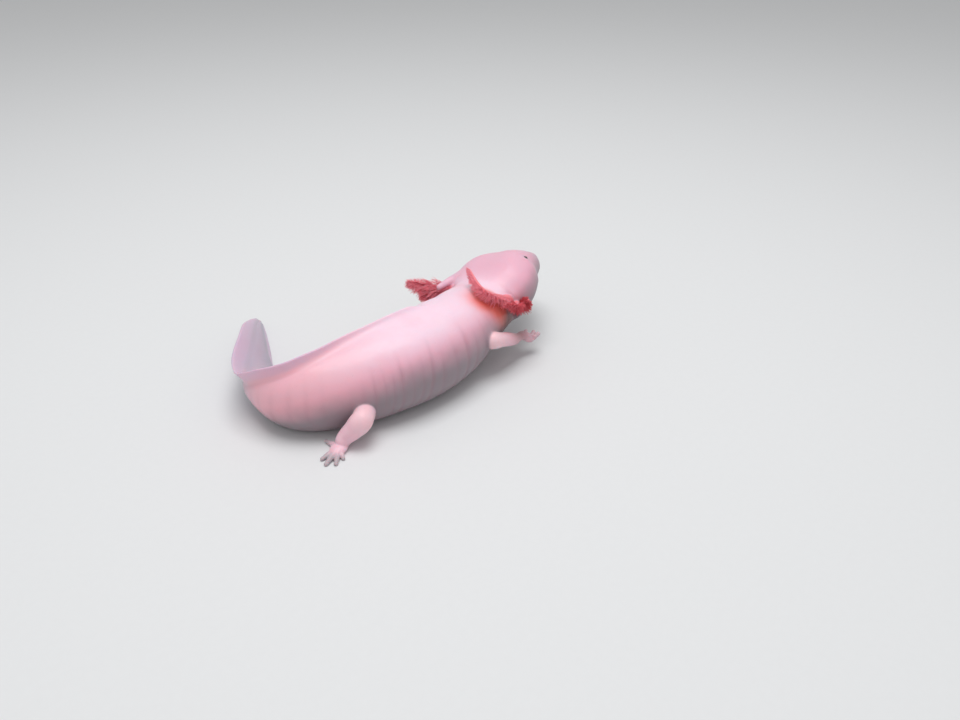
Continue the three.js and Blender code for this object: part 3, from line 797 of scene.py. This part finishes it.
def united(name, shells, voxel):
    """Overlapping closed shells as one surface: remade from cubes of the voxel's size, smoothed for
    some rounds, then thinned to a share of its faces."""
    obj = mesh_object(name, *joined(shells))
    cubes = obj.modifiers.new("cubes", "REMESH")
    cubes.mode = "VOXEL"
    cubes.voxel_size = voxel
    smooth = obj.modifiers.new("smooth", "SMOOTH")
    smooth.factor = 0.5
    smooth.iterations = VOXEL_SMOOTHING
    thin = obj.modifiers.new("thin", "DECIMATE")
    thin.ratio = VOXEL_FACES_KEPT
    return new_object(name, worked_mesh(obj))


def near_line(points, path, radius, margin):
    """Which points lie within a margin of a line's box, and the distance of each of them to every
    point of the line, over the radius there."""
    low, high = path.min(0) - margin, path.max(0) + margin
    near = np.flatnonzero(((points > low) & (points < high)).all(1))
    return near, away(points[near, None], path[None]) / radius


def limb_distances(points):
    """For each point, its distance to the nearest limb's line, palm or toe over the radius there,
    and, where it lies on a toe, its distance in mm from the middle of the palm."""
    best = np.full(len(points), 1e9)
    past = np.zeros(len(points))
    share = np.linspace(0, 1, NEAR_POINTS)
    for limb in LIMBS:
        radius = np.interp(share, np.linspace(0, 1, LIMB_POINTS), limb_radii(limb))
        near, gap = near_line(points, limb_path(limb, NEAR_POINTS), radius, 14)
        gap = gap.min(1)
        to_palm = away(points[near], placed(limb["palm"]))
        toes = [toe_path(limb["palm"], tip, NEAR_TOE_POINTS) for tip in limb["toes"]]
        to_toe = away(points[near, None], np.concatenate(toes)[None]).min(1) / 1.1
        value = np.minimum(gap, np.minimum(to_palm / 3.4, to_toe))
        closer = value < best[near]
        best[near[closer]] = value[closer]
        past[near[closer]] = (to_palm * (to_toe < gap))[closer]
    return best, past


def gill_distances(points):
    """For each point, its distance to the nearest gill stalk over the stalk's radius there, and how
    red that stalk is there, which grows with the share along it."""
    best = np.full(len(points), 1e9)
    red = np.zeros(len(points))
    for gill in GILLS:
        radius = gill_radii(gill, np.linspace(0, 1, NEAR_POINTS))
        near, gap = near_line(points, gill_path(gill, NEAR_POINTS), radius, 4)
        closer = gap.min(1) < best[near]
        best[near[closer]] = gap.min(1)[closer]
        share = gap.argmin(1)[closer] / (NEAR_POINTS - 1)
        red[near[closer]] = gill["red"] * lerp(0.85, 1, ramp(share, 0.0, 0.35))
    return best, red


def root_weights(points):
    """1 near where a limb or gill leaves the body, 0 away from it, to smooth the join."""
    over = height_over_skin(points)
    limb, _ = limb_distances(points)
    gill, _ = gill_distances(points)
    near = np.maximum(1 - ramp(limb, 1.5, 2.3), 1 - ramp(gill, 1.4, 2.0))
    return near * (1 - ramp(np.abs(over), 0.8, 2.2))


def mark_skin(mesh, points, sizes):
    """Stores where each vertex lies on the animal, from its body coordinates and its distances to
    the limbs and gills, for the skin's material."""
    s, across, high = locate(points)
    over = height_over_skin(points)
    tall = np.where(high > 0, above(s), below(s))
    n = squareness(s)
    x = np.clip(np.abs(across) / half_width(s), 0, None) ** (n / 2)
    z = np.clip(np.abs(high) / tall, 0, None) ** (n / 2)
    lift = np.degrees(np.arctan2(np.sign(high) * z, np.maximum(x, 1e-6)))
    side = np.where(across >= 0, 1.0, -1.0)
    limb, past = limb_distances(points)
    gill, gill_red = gill_distances(points)
    outside = ramp(over, 0.2, 1.3)
    fin_top = ramp(high - above(s), 0.1, 1.8) * lerp(0.25, 1, ramp(s, 96, 134)) * ramp(s, 76, 92)
    fin_low = ramp(-high - below(s), 0.1, 1.4) * ramp(s, *UNDER_FIN_START)
    on_limb = outside * (1 - ramp(limb, 1.3, 1.8)) * (1 - ramp(s, 128, 134) * (limb > 1.4))
    on_gill = ramp(over, 0.1, 0.8) * (1 - ramp(gill, 1.6, 2.3)) * (s < 62)
    fins = np.maximum(fin_top, fin_low) * (1 - on_limb) * (1 - on_gill)
    reach = np.maximum(
        (high - above(s)) / np.maximum(back_fin(s) + FIN_GAP, 0.5),
        (-high - below(s)) / np.maximum(under_fin(s) + FIN_GAP, 0.5),
    )
    # How deep in a fold each point lies; the material darkens this as painted shade in the folds,
    # grooves and nostrils.
    _, hollow = relief(s, lift, side, sizes)
    hollow = hollow * (1 - np.clip(on_limb + on_gill + fins, 0, 1))
    for centre in nostrils():
        hollow = np.maximum(hollow, bell(away(points, centre), 0.34))
    # Painted red glow on the neck behind the gills, stronger on the right: the red light of the
    # strands on the skin.
    behind_gills = 1.1 * bell(s - 52, 8) * bell(lift - 46, 27)
    behind_gills = behind_gills + 0.9 * bell(s - 48, 7) * bell(lift - 12, 28)
    painted_gill_glow = np.clip(behind_gills, 0, 1) * ramp(s, 44, 48)
    painted_gill_glow = painted_gill_glow * np.where(side > 0, 1, 0.45) * (1 - on_gill)
    # Elbows and knees: partly their own pinker skin, partly a painted highlight on their tops.
    joint = np.zeros(len(points))
    for one in LIMBS:
        bend = placed(one["line"][one["bend"]])
        joint = np.maximum(joint, bell(away(points, bend) - 1.5, 3.2))
    rim = np.zeros(len(points))
    for centre, radius in eye_balls():
        rim = np.maximum(rim, bell(away(points, centre) - radius - 0.2, 0.42))
    for name, values in (
        ("along", s / LENGTH),
        ("lift", lift / 90),
        ("fin", fins),
        ("fin_reach", np.clip(reach, 0, 1) * fins),
        ("limb", on_limb),
        ("toe", ramp(past, 2.4, 6.5) * on_limb * lerp(0.6, 1, ramp(s, 80, 100))),
        ("gill", on_gill),
        ("gill_red", gill_red),
        ("hollow", hollow),
        ("painted_gill_glow", painted_gill_glow),
        # Painted shade on the throat and neck under the gills.
        ("shade", bell(s - 45, 6.5) * bell(lift + 12, 30) * (1 - on_gill)),
        ("rim", rim),
        ("joint", joint * on_limb),
    ):
        set_attribute(mesh, name, values)


# ---------------------------------------------------------------- shader maths


class Wire:
    """A socket of a material, whose arithmetic adds Math nodes."""

    def __init__(self, shader, socket):
        self.shader = shader
        self.socket = socket

    def maths(self, operation, *values):
        wires = dict(enumerate(values))
        return self.shader.node("ShaderNodeMath", {"operation": operation}, wires)

    def __add__(self, other):
        return self.maths("ADD", self, other)

    def __radd__(self, other):
        return self.maths("ADD", other, self)

    def __sub__(self, other):
        return self.maths("SUBTRACT", self, other)

    def __rsub__(self, other):
        return self.maths("SUBTRACT", other, self)

    def __mul__(self, other):
        return self.maths("MULTIPLY", self, other)

    def __rmul__(self, other):
        return self.maths("MULTIPLY", other, self)

    def ramp(self, low, high):
        """0 below low, 1 above high, smooth between."""
        settings = {"interpolation_type": "SMOOTHSTEP"}
        sockets = {0: self, 1: low, 2: high, 3: 0.0, 4: 1.0}
        return self.shader.node("ShaderNodeMapRange", settings, sockets)


class Shader:
    """A node material with one Principled BSDF."""

    def __init__(self, name):
        self.material = bpy.data.materials.new(name)
        self.material.use_nodes = True
        self.nodes = self.material.node_tree.nodes
        self.links = self.material.node_tree.links
        self.skin = self.nodes["Principled BSDF"]

    def put(self, socket, value):
        """Links a wire to a socket, or gives the socket a plain value."""
        if isinstance(value, Wire):
            self.links.new(value.socket, socket)
        else:
            socket.default_value = value

    def node(self, kind, settings=None, sockets=None, output=0):
        """Adds a node: first its settings, then the values or links of its sockets."""
        made = self.nodes.new(kind)
        for key, value in (settings or {}).items():
            setattr(made, key, value)
        for key, value in (sockets or {}).items():
            self.put(made.inputs[key], value)
        return Wire(self, made.outputs[output])

    def attribute(self, name):
        """One number for each vertex, stored on the mesh."""
        return self.node("ShaderNodeAttribute", {"attribute_name": name}, output="Fac")

    def place(self):
        """Object coordinates, in metres."""
        return self.node("ShaderNodeTexCoord", output="Object")

    def noise(self, scale, detail, roughness=0.5):
        """Noise in object space, about 0.5 on average."""
        sockets = {"Vector": self.place(), "Scale": scale, "Detail": detail, "Roughness": roughness}
        return self.node("ShaderNodeTexNoise", {"noise_dimensions": "3D"}, sockets, "Fac")

    def cells(self, scale):
        """Rounded cells in object space: the distance to the nearest cell's middle."""
        sockets = {"Vector": self.place(), "Scale": scale}
        return self.node("ShaderNodeTexVoronoi", {"feature": "SMOOTH_F1"}, sockets, "Distance")

    def mix(self, share, a, b):
        """Colour a share of the way from a to b."""
        return self.node("ShaderNodeMix", {"data_type": "RGBA"}, {0: share, 6: a, 7: b}, 2)

    def painted(self, colours, ground, *coats):
        """Colour of a ground with coats over it in turn, each a share that it covers and the name
        of its colour."""
        tone = opaque(getattr(colours, ground))
        for share, name in coats:
            tone = self.mix(share, tone, opaque(getattr(colours, name)))
        return tone

    def bump(self, height, strength, distance):
        """Bumped normal from a height."""
        sockets = {"Strength": strength, "Distance": distance, "Height": height}
        return self.node("ShaderNodeBump", None, sockets, "Normal")

    def feed(self, **sockets):
        """Sets or links sockets of the Principled BSDF; an underscore stands for a space."""
        for key, value in sockets.items():
            self.put(self.skin.inputs[key.replace("_", " ")], value)


def opaque(colour):
    """A colour property as four numbers."""
    return (*colour, 1.0)


def skin_material(colours):
    """Moist translucent skin. The colour goes from a lighter back, painted light from above, to a
    grey belly in painted shade, and from head to tail, with lavender fins, peach limbs with pinker
    elbows and knees (partly painted highlight), rose stalks, a painted red glow of the gill strands
    on the neck, painted shade under the gills and painted shade in the folds."""
    shader = Shader("moist_skin")
    along, lift = shader.attribute("along"), shader.attribute("lift")
    fin, reach = shader.attribute("fin"), shader.attribute("fin_reach")
    limb, toe = shader.attribute("limb"), shader.attribute("toe")
    gill, hollow = shader.attribute("gill"), shader.attribute("hollow")
    blotch = shader.noise(70.0, 3.0)
    fine = shader.noise(420.0, 4.0, 0.6)
    wavy = lift + (blotch - 0.5) * 0.25
    glow = shader.attribute("painted_gill_glow") * (0.75 + blotch * 0.5)
    speck = shader.noise(1500.0, 2.0).ramp(0.62, 0.78)
    tone = shader.painted(
        colours,
        "flush",
        # Lighter back: painted light from above over the top of the body.
        (lift.ramp(0.08, 0.55), "back"),
        ((1 - along.ramp(0.13, 0.2)) * 0.8, "head"),
        ((1 - along.ramp(0.03, 0.10)) * 0.5, "snout"),
        (along.ramp(0.40, 0.62) * 0.75, "tail"),
        (blotch.ramp(0.45, 0.75) * 0.25, "flush"),
        # Grey low flank and belly: painted shade, cooled by a painted reflection of the ground.
        ((1 - wavy.ramp(-0.20, 0.35)) * 0.94, "belly"),
        (along.ramp(0.62, 0.74) * 0.85, "blade"),
        (limb * 0.85, "limb"),
        # Pinker elbows and knees: partly own tint, partly painted highlight.
        (shader.attribute("joint") * 0.6, "joint"),
        (toe * 0.92, "toe"),
        (fin * (0.35 + reach * 0.5), "fin"),
        (gill * 0.8, "stalk"),
        (gill * shader.attribute("gill_red") * 0.85, "strand_tip"),
        # Painted red glow of the gill strands on the neck.
        (glow.ramp(0.0, 0.9) * 0.95, "painted_gill_glow"),
        # Painted shade on the throat under the gills, in the slit colour.
        (shader.attribute("shade") * 0.92, "slit"),
        # Painted shade in the folds, grooves and nostrils.
        (hollow * 0.4, "fold"),
        (shader.attribute("rim") * 0.35, "toe"),
        # Random dark specks of the skin, in the folds' colour.
        (speck * 0.10, "fold"),
    )
    height = shader.noise(260.0, 3.0) * 1.5 + fine * 0.6 + shader.cells(1900.0) * 0.4
    shader.feed(
        Base_Color=tone,
        Roughness=0.40 + fine * 0.16 + hollow * 0.1,
        Normal=shader.bump(height, 0.25, 0.00016),
        Subsurface_Weight=0.45,
        Subsurface_Radius=(1.0, 0.42, 0.36),
        Subsurface_Scale=0.0022,
        IOR=1.4,
        Coat_Weight=0.22,
        Coat_Roughness=0.22,
    )
    return shader.material


def strand_material(colours):
    """Gill strands: deep red at the root, lighter and more orange towards the thin tip. The strands
    of the upper gills are painted lit, paler and nearer the tip's colour; those of the lower right
    gills are in painted shade, nearer the root's colour.
    """
    shader = Shader("gill_strands")
    tip, shade = shader.attribute("tip"), shader.attribute("shade")
    coats = (tip.ramp(0.0, 1.0), "strand_tip"), (shade * 0.5, "lit_strand")
    shader.feed(
        Base_Color=shader.painted(colours, "strand_root", *coats),
        Roughness=0.5,
        Subsurface_Weight=0.3,
        Subsurface_Radius=(1.0, 0.3, 0.25),
        Subsurface_Scale=0.001,
    )
    return shader.material


def eye_material(colours):
    """A wet dark eye: black pupil, a thin pale ring round it and a dark mottled iris."""
    shader = Shader("wet_eye")
    gaze = shader.attribute("gaze")
    mottle = shader.noise(2600.0, 3.0)
    ring = gaze.ramp(0.80, 0.84) * (1 - gaze.ramp(0.87, 0.90))
    coats = (mottle.ramp(0.4, 0.7), "iris"), (ring * 0.55, "ring"), (gaze.ramp(0.88, 0.9), "eye")
    tone = shader.painted(colours, "eye", *coats)
    shader.feed(Base_Color=tone, Roughness=0.12, Coat_Weight=1.0, Coat_Roughness=0.03)
    return shader.material


def floor_material(stage):
    """A plain matt floor."""
    shader = Shader("plain_floor")
    grain = shader.noise(400.0, 2.0)
    tone = shader.mix(grain * 0.06, opaque(stage.floor), (0.5, 0.5, 0.5, 1))
    shader.feed(Base_Color=tone, Roughness=0.75)
    return shader.material


# ---------------------------------------------------------------- properties


def length(name, description, default):
    """A size property in metres."""
    return bpy.props.FloatProperty(
        name=name, description=description, default=default, min=0.0, unit="LENGTH", precision=5
    )


def colour(name, description, default):
    """A linear colour property."""
    return bpy.props.FloatVectorProperty(
        name=name, description=description, default=default, size=3, min=0.0, max=1.0,
        subtype="COLOR",
    )


class AxolotlSizes(bpy.types.PropertyGroup):
    """Sizes of the skin's folds and of its mesh."""

    body_columns: bpy.props.IntProperty(
        name="Columns", description="Points round the body", default=132, min=40, max=400
    )
    groove_depth: length("Groove depth", "Depth of the grooves between the ribs", 0.00034)
    mouth_depth: length("Mouth depth", "Depth of the line between the lips", 0.00045)
    fold_depth: length("Fold depth", "Depth of the fold behind the head", 0.0007)
    eye_rim: length("Eye rim", "Height of the rim of skin round an eye", 0.00026)
    root_flare: length("Root flare", "How far a limb widens where it leaves the body", 0.0004)
    voxel: length("Voxel", "Size of the cubes that unite the shells of a limb", 0.0002)


class AxolotlGills(bpy.types.PropertyGroup):
    """Sizes of the gill strands."""

    strands: bpy.props.IntProperty(
        name="Strands", description="Strands on each gill", default=560, min=20, max=1500
    )
    strand_length: length("Strand length", "Length of the longest strands", 0.0054)
    strand_radius: length("Strand radius", "Radius of a strand at its root", 0.00016)


class AxolotlColours(bpy.types.PropertyGroup):
    """Linear colours of the skin, gills and eyes, with light and shade painted into some of them."""

    # Painted light: the lighter colour of the top of the body, lit from above.
    back: colour("Back", "Skin over the back", (0.99, 0.70, 0.82))
    head: colour("Head", "Skin over the head", (0.80, 0.42, 0.54))
    # Painted shade: the dark grey of the low flank and belly, in shade under the light from above.
    belly: colour("Belly", "Skin low on the flank and below", (0.27, 0.235, 0.26))
    tail: colour("Tail", "Skin of the tail's core", (0.88, 0.43, 0.49))
    blade: colour("Tail blade", "Skin of the tail's flat end", (0.43, 0.40, 0.50))
    flush: colour("Flush", "Soft pink patches", (0.90, 0.46, 0.58))
    limb: colour("Limb", "Skin of the legs", (1.0, 0.63, 0.73))
    # Partly the pinker skin of elbows and knees, partly a painted highlight on them.
    joint: colour("Joint", "Skin over the elbows and knees", (1.0, 0.68, 0.68))
    snout: colour("Snout", "Skin of the snout", (0.50, 0.33, 0.42))
    toe: colour("Toe", "Skin of the toes", (0.46, 0.41, 0.44))
    fin: colour("Fin", "Thin skin of the fins", (0.70, 0.52, 0.68))
    stalk: colour("Stalk", "Skin of the gill stalks", (0.78, 0.50, 0.62))
    # Painted red glow that the gill strands throw on the neck.
    painted_gill_glow: colour("Blush", "Red glow behind the gills", (0.86, 0.16, 0.12))
    # Painted shade on the throat and neck under the gills, not a colour of the skin itself.
    slit: colour("Gill slit", "Skin round the gill slits", (0.17, 0.04, 0.035))
    # Painted shade in the folds, grooves and nostrils; also the colour of the random specks.
    fold: colour("Fold", "Depth of the folds", (0.42, 0.17, 0.22))
    strand_root: colour("Strand root", "Gill strands at the root", (0.64, 0.08, 0.11))
    strand_tip: colour("Strand tip", "Gill strands at the tip", (1.0, 0.21, 0.24))
    # Painted light: the colour of the lit strands of the upper gills.
    lit_strand: colour("Pale strand", "The palest gill strands", (1.0, 0.40, 0.54))
    eye: colour("Eye", "Pupil and ground of the eye", (0.012, 0.008, 0.012))
    iris: colour("Iris", "Mottling of the iris", (0.06, 0.035, 0.05))
    ring: colour("Ring", "Ring round the pupil", (0.45, 0.30, 0.30))


class AxolotlStage(bpy.types.PropertyGroup):
    """The floor, the lights and the camera."""

    floor: colour("Floor", "Colour of the floor", (0.78, 0.79, 0.80))
    sky: bpy.props.FloatProperty(name="Sky", description="Strength of the even light", default=0.48)
    key: bpy.props.FloatProperty(
        name="Key", description="Power of the main lamp", default=3.7, unit="POWER"
    )
    fill: bpy.props.FloatProperty(
        name="Fill", description="Power of the fill lamp", default=0.4, unit="POWER"
    )
    lens: bpy.props.FloatProperty(name="Lens", description="Focal length in mm", default=32.25)


# ---------------------------------------------------------------- operators


class AXOLOTL_OT_skin(bpy.types.Operator):
    """Builds the one skin over head, trunk, tail, fins, limbs and gill stalks"""

    bl_idname = "axolotl.skin"
    bl_label = "Build the skin"

    def execute(self, context):
        sizes, colours = context.scene.axolotl_sizes, context.scene.axolotl_colours
        body = mesh_object("body", *body_shell(sizes))
        voxel = sizes.voxel / MM
        parts = [united(limb["name"], limb_shells(limb, sizes), voxel) for limb in LIMBS]
        for gill in GILLS:
            radii = gill_radii(gill, np.linspace(0, 1, STALK_POINTS))
            parts.append(mesh_object("stalk", *tube(gill_path(gill), radii, around=26, flare=0.9)))
        for part in parts:
            join = body.modifiers.new("join", "BOOLEAN")
            join.operation = "UNION"
            join.solver = "MANIFOLD"
            join.object = part
        mesh = worked_mesh(body)
        for part in parts:
            bpy.data.objects.remove(part)
        points = corners(mesh)
        if len(points) < SKIN_LEAST_POINTS:
            raise RuntimeError("the skin's shells did not unite")
        points = relaxed(mesh, points, JOIN_PULL * root_weights(points), JOIN_ROUNDS)
        points[:, 2] = np.maximum(points[:, 2], 0)
        mark_skin(mesh, points, sizes)
        mesh.vertices.foreach_set("co", (points * MM).astype(np.float32).ravel())
        mesh.polygons.foreach_set("use_smooth", np.ones(len(mesh.polygons), bool))
        mesh.materials.clear()
        mesh.materials.append(skin_material(colours))
        mesh.update()
        mesh.name = "skin"
        skin = new_object("skin", mesh)
        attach(skin, "root")
        flesh = [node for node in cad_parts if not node.startswith(("eye_", "gill_plume_"))]
        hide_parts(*flesh)
        return {"FINISHED"}


class AXOLOTL_OT_eyes(bpy.types.Operator):
    """Builds the two eyes where their solids are"""

    bl_idname = "axolotl.eyes"
    bl_label = "Build the eyes"

    def execute(self, context):
        material = eye_material(context.scene.axolotl_colours)
        for node, (centre, radius) in zip(EYES, eye_balls()):
            vertices, faces = ball(centre, (radius,) * 3, rows=40, around=56)
            eye = mesh_object(node + "_ball", vertices, faces, MM)
            station, across, _ = locate(centre[None])
            _, forward, right, up = frame_at(station)
            axis = unit(right * np.sign(across) + up * 0.75 + forward * 0.25)[0]
            set_attribute(eye.data, "gaze", unit(vertices - centre) @ axis)
            eye.data.materials.append(material)
            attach(eye, "root")
            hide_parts(node)
        return {"FINISHED"}


def strand_shells(paths, radii, sides):
    """Many thin tubes at once: a ring of points round each path point, quads between rings and a
    fan at each end. Returns vertices, faces and each vertex's strand and share along it."""
    count, rows, _ = paths.shape
    forward = unit(np.gradient(paths, axis=1))
    first = unit(np.cross(forward, [0.31, 0.17, 0.93]))
    second = np.cross(forward, first)
    rings = paths[:, :, None] + spokes(first, second, sides) * radii[None, :, None, None]
    block = np.concatenate([rings.reshape(count, -1, 3), paths[:, :1], paths[:, -1:]], axis=1)
    size = block.shape[1]
    quads, fans = ring_faces(rows, sides)
    start = (np.arange(count) * size)[:, None, None]
    faces = (start + quads).reshape(-1, 4).tolist() + (start + fans).reshape(-1, 3).tolist()
    share = np.concatenate([np.repeat(np.linspace(0, 1, rows), sides), [0.0, 1.0]])
    return block.reshape(-1, 3), faces, np.repeat(np.arange(count), size), np.tile(share, count)


class AXOLOTL_OT_gill_strands(bpy.types.Operator):
    """Builds the red strands of the six gills, one piece for each"""

    bl_idname = "axolotl.gill_strands"
    bl_label = "Build the gill strands"

    def execute(self, context):
        sizes = context.scene.axolotl_gills
        material = strand_material(context.scene.axolotl_colours)
        for place, gill in enumerate(GILLS):
            self.one_gill(place, gill, sizes, material)
        return {"FINISHED"}

    def one_gill(self, place, gill, sizes, material):
        """Strands in two combs along the stalk's lower side: each leaves the stalk sideways and
        outwards, bends towards the stalk's tip and hangs, by terms in t, t^2 and t^2. They are
        longest near the first of them and shorter towards the stalk's tip."""
        rng = np.random.default_rng(41 + place)
        name, spread, hang = gill["name"], gill["spread"], np.array(gill["hang"], float)
        count = int(sizes.strands * (0.4 + 0.6 * gill["reach"]))
        path = gill_path(gill, COMB_POINTS)
        place_on = ((np.arange(count) + rng.uniform(0, 1, count)) / count) ** 0.95
        share = lerp(gill["start"], 0.995, place_on)
        on_path = np.linspace(0, 1, COMB_POINTS)
        at = follow(share, on_path, path)
        forward = unit(follow(share, on_path, unit(np.gradient(path, axis=0))))
        down = unit(hang - (forward @ hang)[:, None] * forward)
        across = np.cross(forward, down)
        comb = np.where(np.arange(count) % 2 == 0, 1, -1) * rng.uniform(0.05, 1, count) * spread
        out = unit(down * np.cos(comb)[:, None] + across * np.sin(comb)[:, None])
        full = gill["reach"] * np.clip(place_on / 0.16, 0.1, 1) ** 0.5 * (1 - 0.72 * place_on**1.7)
        reach = sizes.strand_length / MM * full * rng.uniform(0.66, 1.0, count)
        run = np.linspace(0, 1, STRAND_POINTS)
        t = run[None, :, None]
        wave = rng.normal(0, 0.07, (count, 1, 3))
        bend = forward[:, None] * (0.5 * t**2) + np.array([0, 0, -0.22]) * t**2 + wave * t**2
        root = at + out * (gill_radii(gill, share) * 0.8)[:, None]
        paths = root[:, None] + reach[:, None, None] * (out[:, None] * (t - 0.22 * t**2) + bend)
        radii = sizes.strand_radius / MM * (1 - 0.72 * run**1.4)
        vertices, faces, strand, along = strand_shells(paths, radii, STRAND_SIDES)
        vertices[:, 2] = np.maximum(vertices[:, 2], 0.05)
        plume = mesh_object(f"strands_{name}", vertices, faces, MM)
        # Painted light: lit gills lean to the tip colour and, by a random share each strand, the
        # pale lit colour; gills in painted shade keep the root colour.
        set_attribute(plume.data, "tip", lerp(0.3 * along, 0.45 + 0.55 * along, gill["painted_light"]))
        set_attribute(plume.data, "shade", gill["painted_light"] * rng.uniform(0.3, 1, count)[strand])
        self.unwrap(plume.data, place, share[strand], comb[strand], along)
        plume.data.materials.append(material)
        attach(plume, "root")
        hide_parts(f"gill_plume_{name}")

    def unwrap(self, mesh, place, share, comb, along):
        """The bake map: the stalk's own unwrap, along it and round it, in one sixth of the square
        for each gill, with a small patch for each strand at its root's place."""
        u = (place + lerp(0.08, 0.92, share)) / len(GILLS)
        v = lerp(0.04, 0.96, comb / COMB_SPAN + 0.5) + PATCH * (along - 0.5)
        layer = mesh.uv_layers.new(name="OFBake")
        corner = np.empty(len(mesh.loops), np.int32)
        mesh.loops.foreach_get("vertex_index", corner)
        turn = (np.arange(len(u)) % STRAND_SIDES) / (STRAND_SIDES - 1) - 0.5
        flat = np.stack([u + PATCH * turn, v], 1)[corner]
        layer.data.foreach_set("uv", flat.astype(np.float32).ravel())


def area_light(name, power):
    """A square lamp of a given power, which faces the animal."""
    size, at = LAMPS[name]
    data = bpy.data.lights.new(name, "AREA")
    data.energy = power
    data.size = size
    lamp = new_object(name, data)
    lamp.location = at
    lamp.rotation_euler = (Vector(LAMP_AIM) - Vector(at)).to_track_quat("-Z", "Y").to_euler()


class AXOLOTL_OT_stage(bpy.types.Operator):
    """Lays the floor, lights it and sets the camera behind and above the animal"""

    bl_idname = "axolotl.stage"
    bl_label = "Set the stage"

    def execute(self, context):
        scene, stage = context.scene, context.scene.axolotl_stage
        square = [(-1, -1, 0), (1, -1, 0), (1, 1, 0), (-1, 1, 0)]
        floor = mesh_object("floor", square, [[0, 1, 2, 3]], FLOOR_HALF)
        floor.data.materials.append(floor_material(stage))
        world = bpy.data.worlds.new("even_light")
        world.use_nodes = True
        background = world.node_tree.nodes["Background"].inputs
        background["Color"].default_value = (1, 1, 1, 1)
        background["Strength"].default_value = stage.sky
        scene.world = world
        area_light("key", stage.key)
        area_light("fill", stage.fill)
        data = bpy.data.cameras.new("camera")
        data.lens = stage.lens
        data.sensor_width = 36
        data.clip_start = 0.01
        camera = new_object("camera", data)
        camera.location = CAMERA_PLACE
        camera.rotation_euler = (np.radians(CAMERA_TILT), 0, np.radians(CAMERA_TURN))
        scene.camera = camera
        scene.view_settings.view_transform = "Standard"
        return {"FINISHED"}


# ---------------------------------------------------------------- panel and registration


class VIEW3D_PT_axolotl(bpy.types.Panel):
    """Lists the axolotl's pieces and their sizes"""

    bl_label = "Axolotl"
    bl_idname = "VIEW3D_PT_axolotl"
    bl_space_type = "VIEW_3D"
    bl_region_type = "UI"
    bl_category = "Axolotl"

    def draw(self, context):
        groups = (
            (context.scene.axolotl_sizes, ("axolotl.skin", "axolotl.eyes")),
            (context.scene.axolotl_gills, ("axolotl.gill_strands",)),
            (context.scene.axolotl_colours, ()),
            (context.scene.axolotl_stage, ("axolotl.stage",)),
        )
        for group, operators in groups:
            box = self.layout.box()
            for name in group.__annotations__:
                box.prop(group, name)
            for operator in operators:
                box.operator(operator)


CLASSES = (
    AxolotlSizes,
    AxolotlGills,
    AxolotlColours,
    AxolotlStage,
    AXOLOTL_OT_skin,
    AXOLOTL_OT_eyes,
    AXOLOTL_OT_gill_strands,
    AXOLOTL_OT_stage,
    VIEW3D_PT_axolotl,
)
GROUPS = {
    "axolotl_sizes": AxolotlSizes,
    "axolotl_gills": AxolotlGills,
    "axolotl_colours": AxolotlColours,
    "axolotl_stage": AxolotlStage,
}


def register():
    for cls in CLASSES:
        bpy.utils.register_class(cls)
    for name, group in GROUPS.items():
        setattr(bpy.types.Scene, name, bpy.props.PointerProperty(type=group))


def unregister():
    for name in GROUPS:
        delattr(bpy.types.Scene, name)
    for cls in reversed(CLASSES):
        bpy.utils.unregister_class(cls)


def main():
    register()
    bpy.ops.axolotl.stage()
    bpy.ops.axolotl.skin()
    bpy.ops.axolotl.eyes()
    bpy.ops.axolotl.gill_strands()


if __name__ == "__main__":
    main()
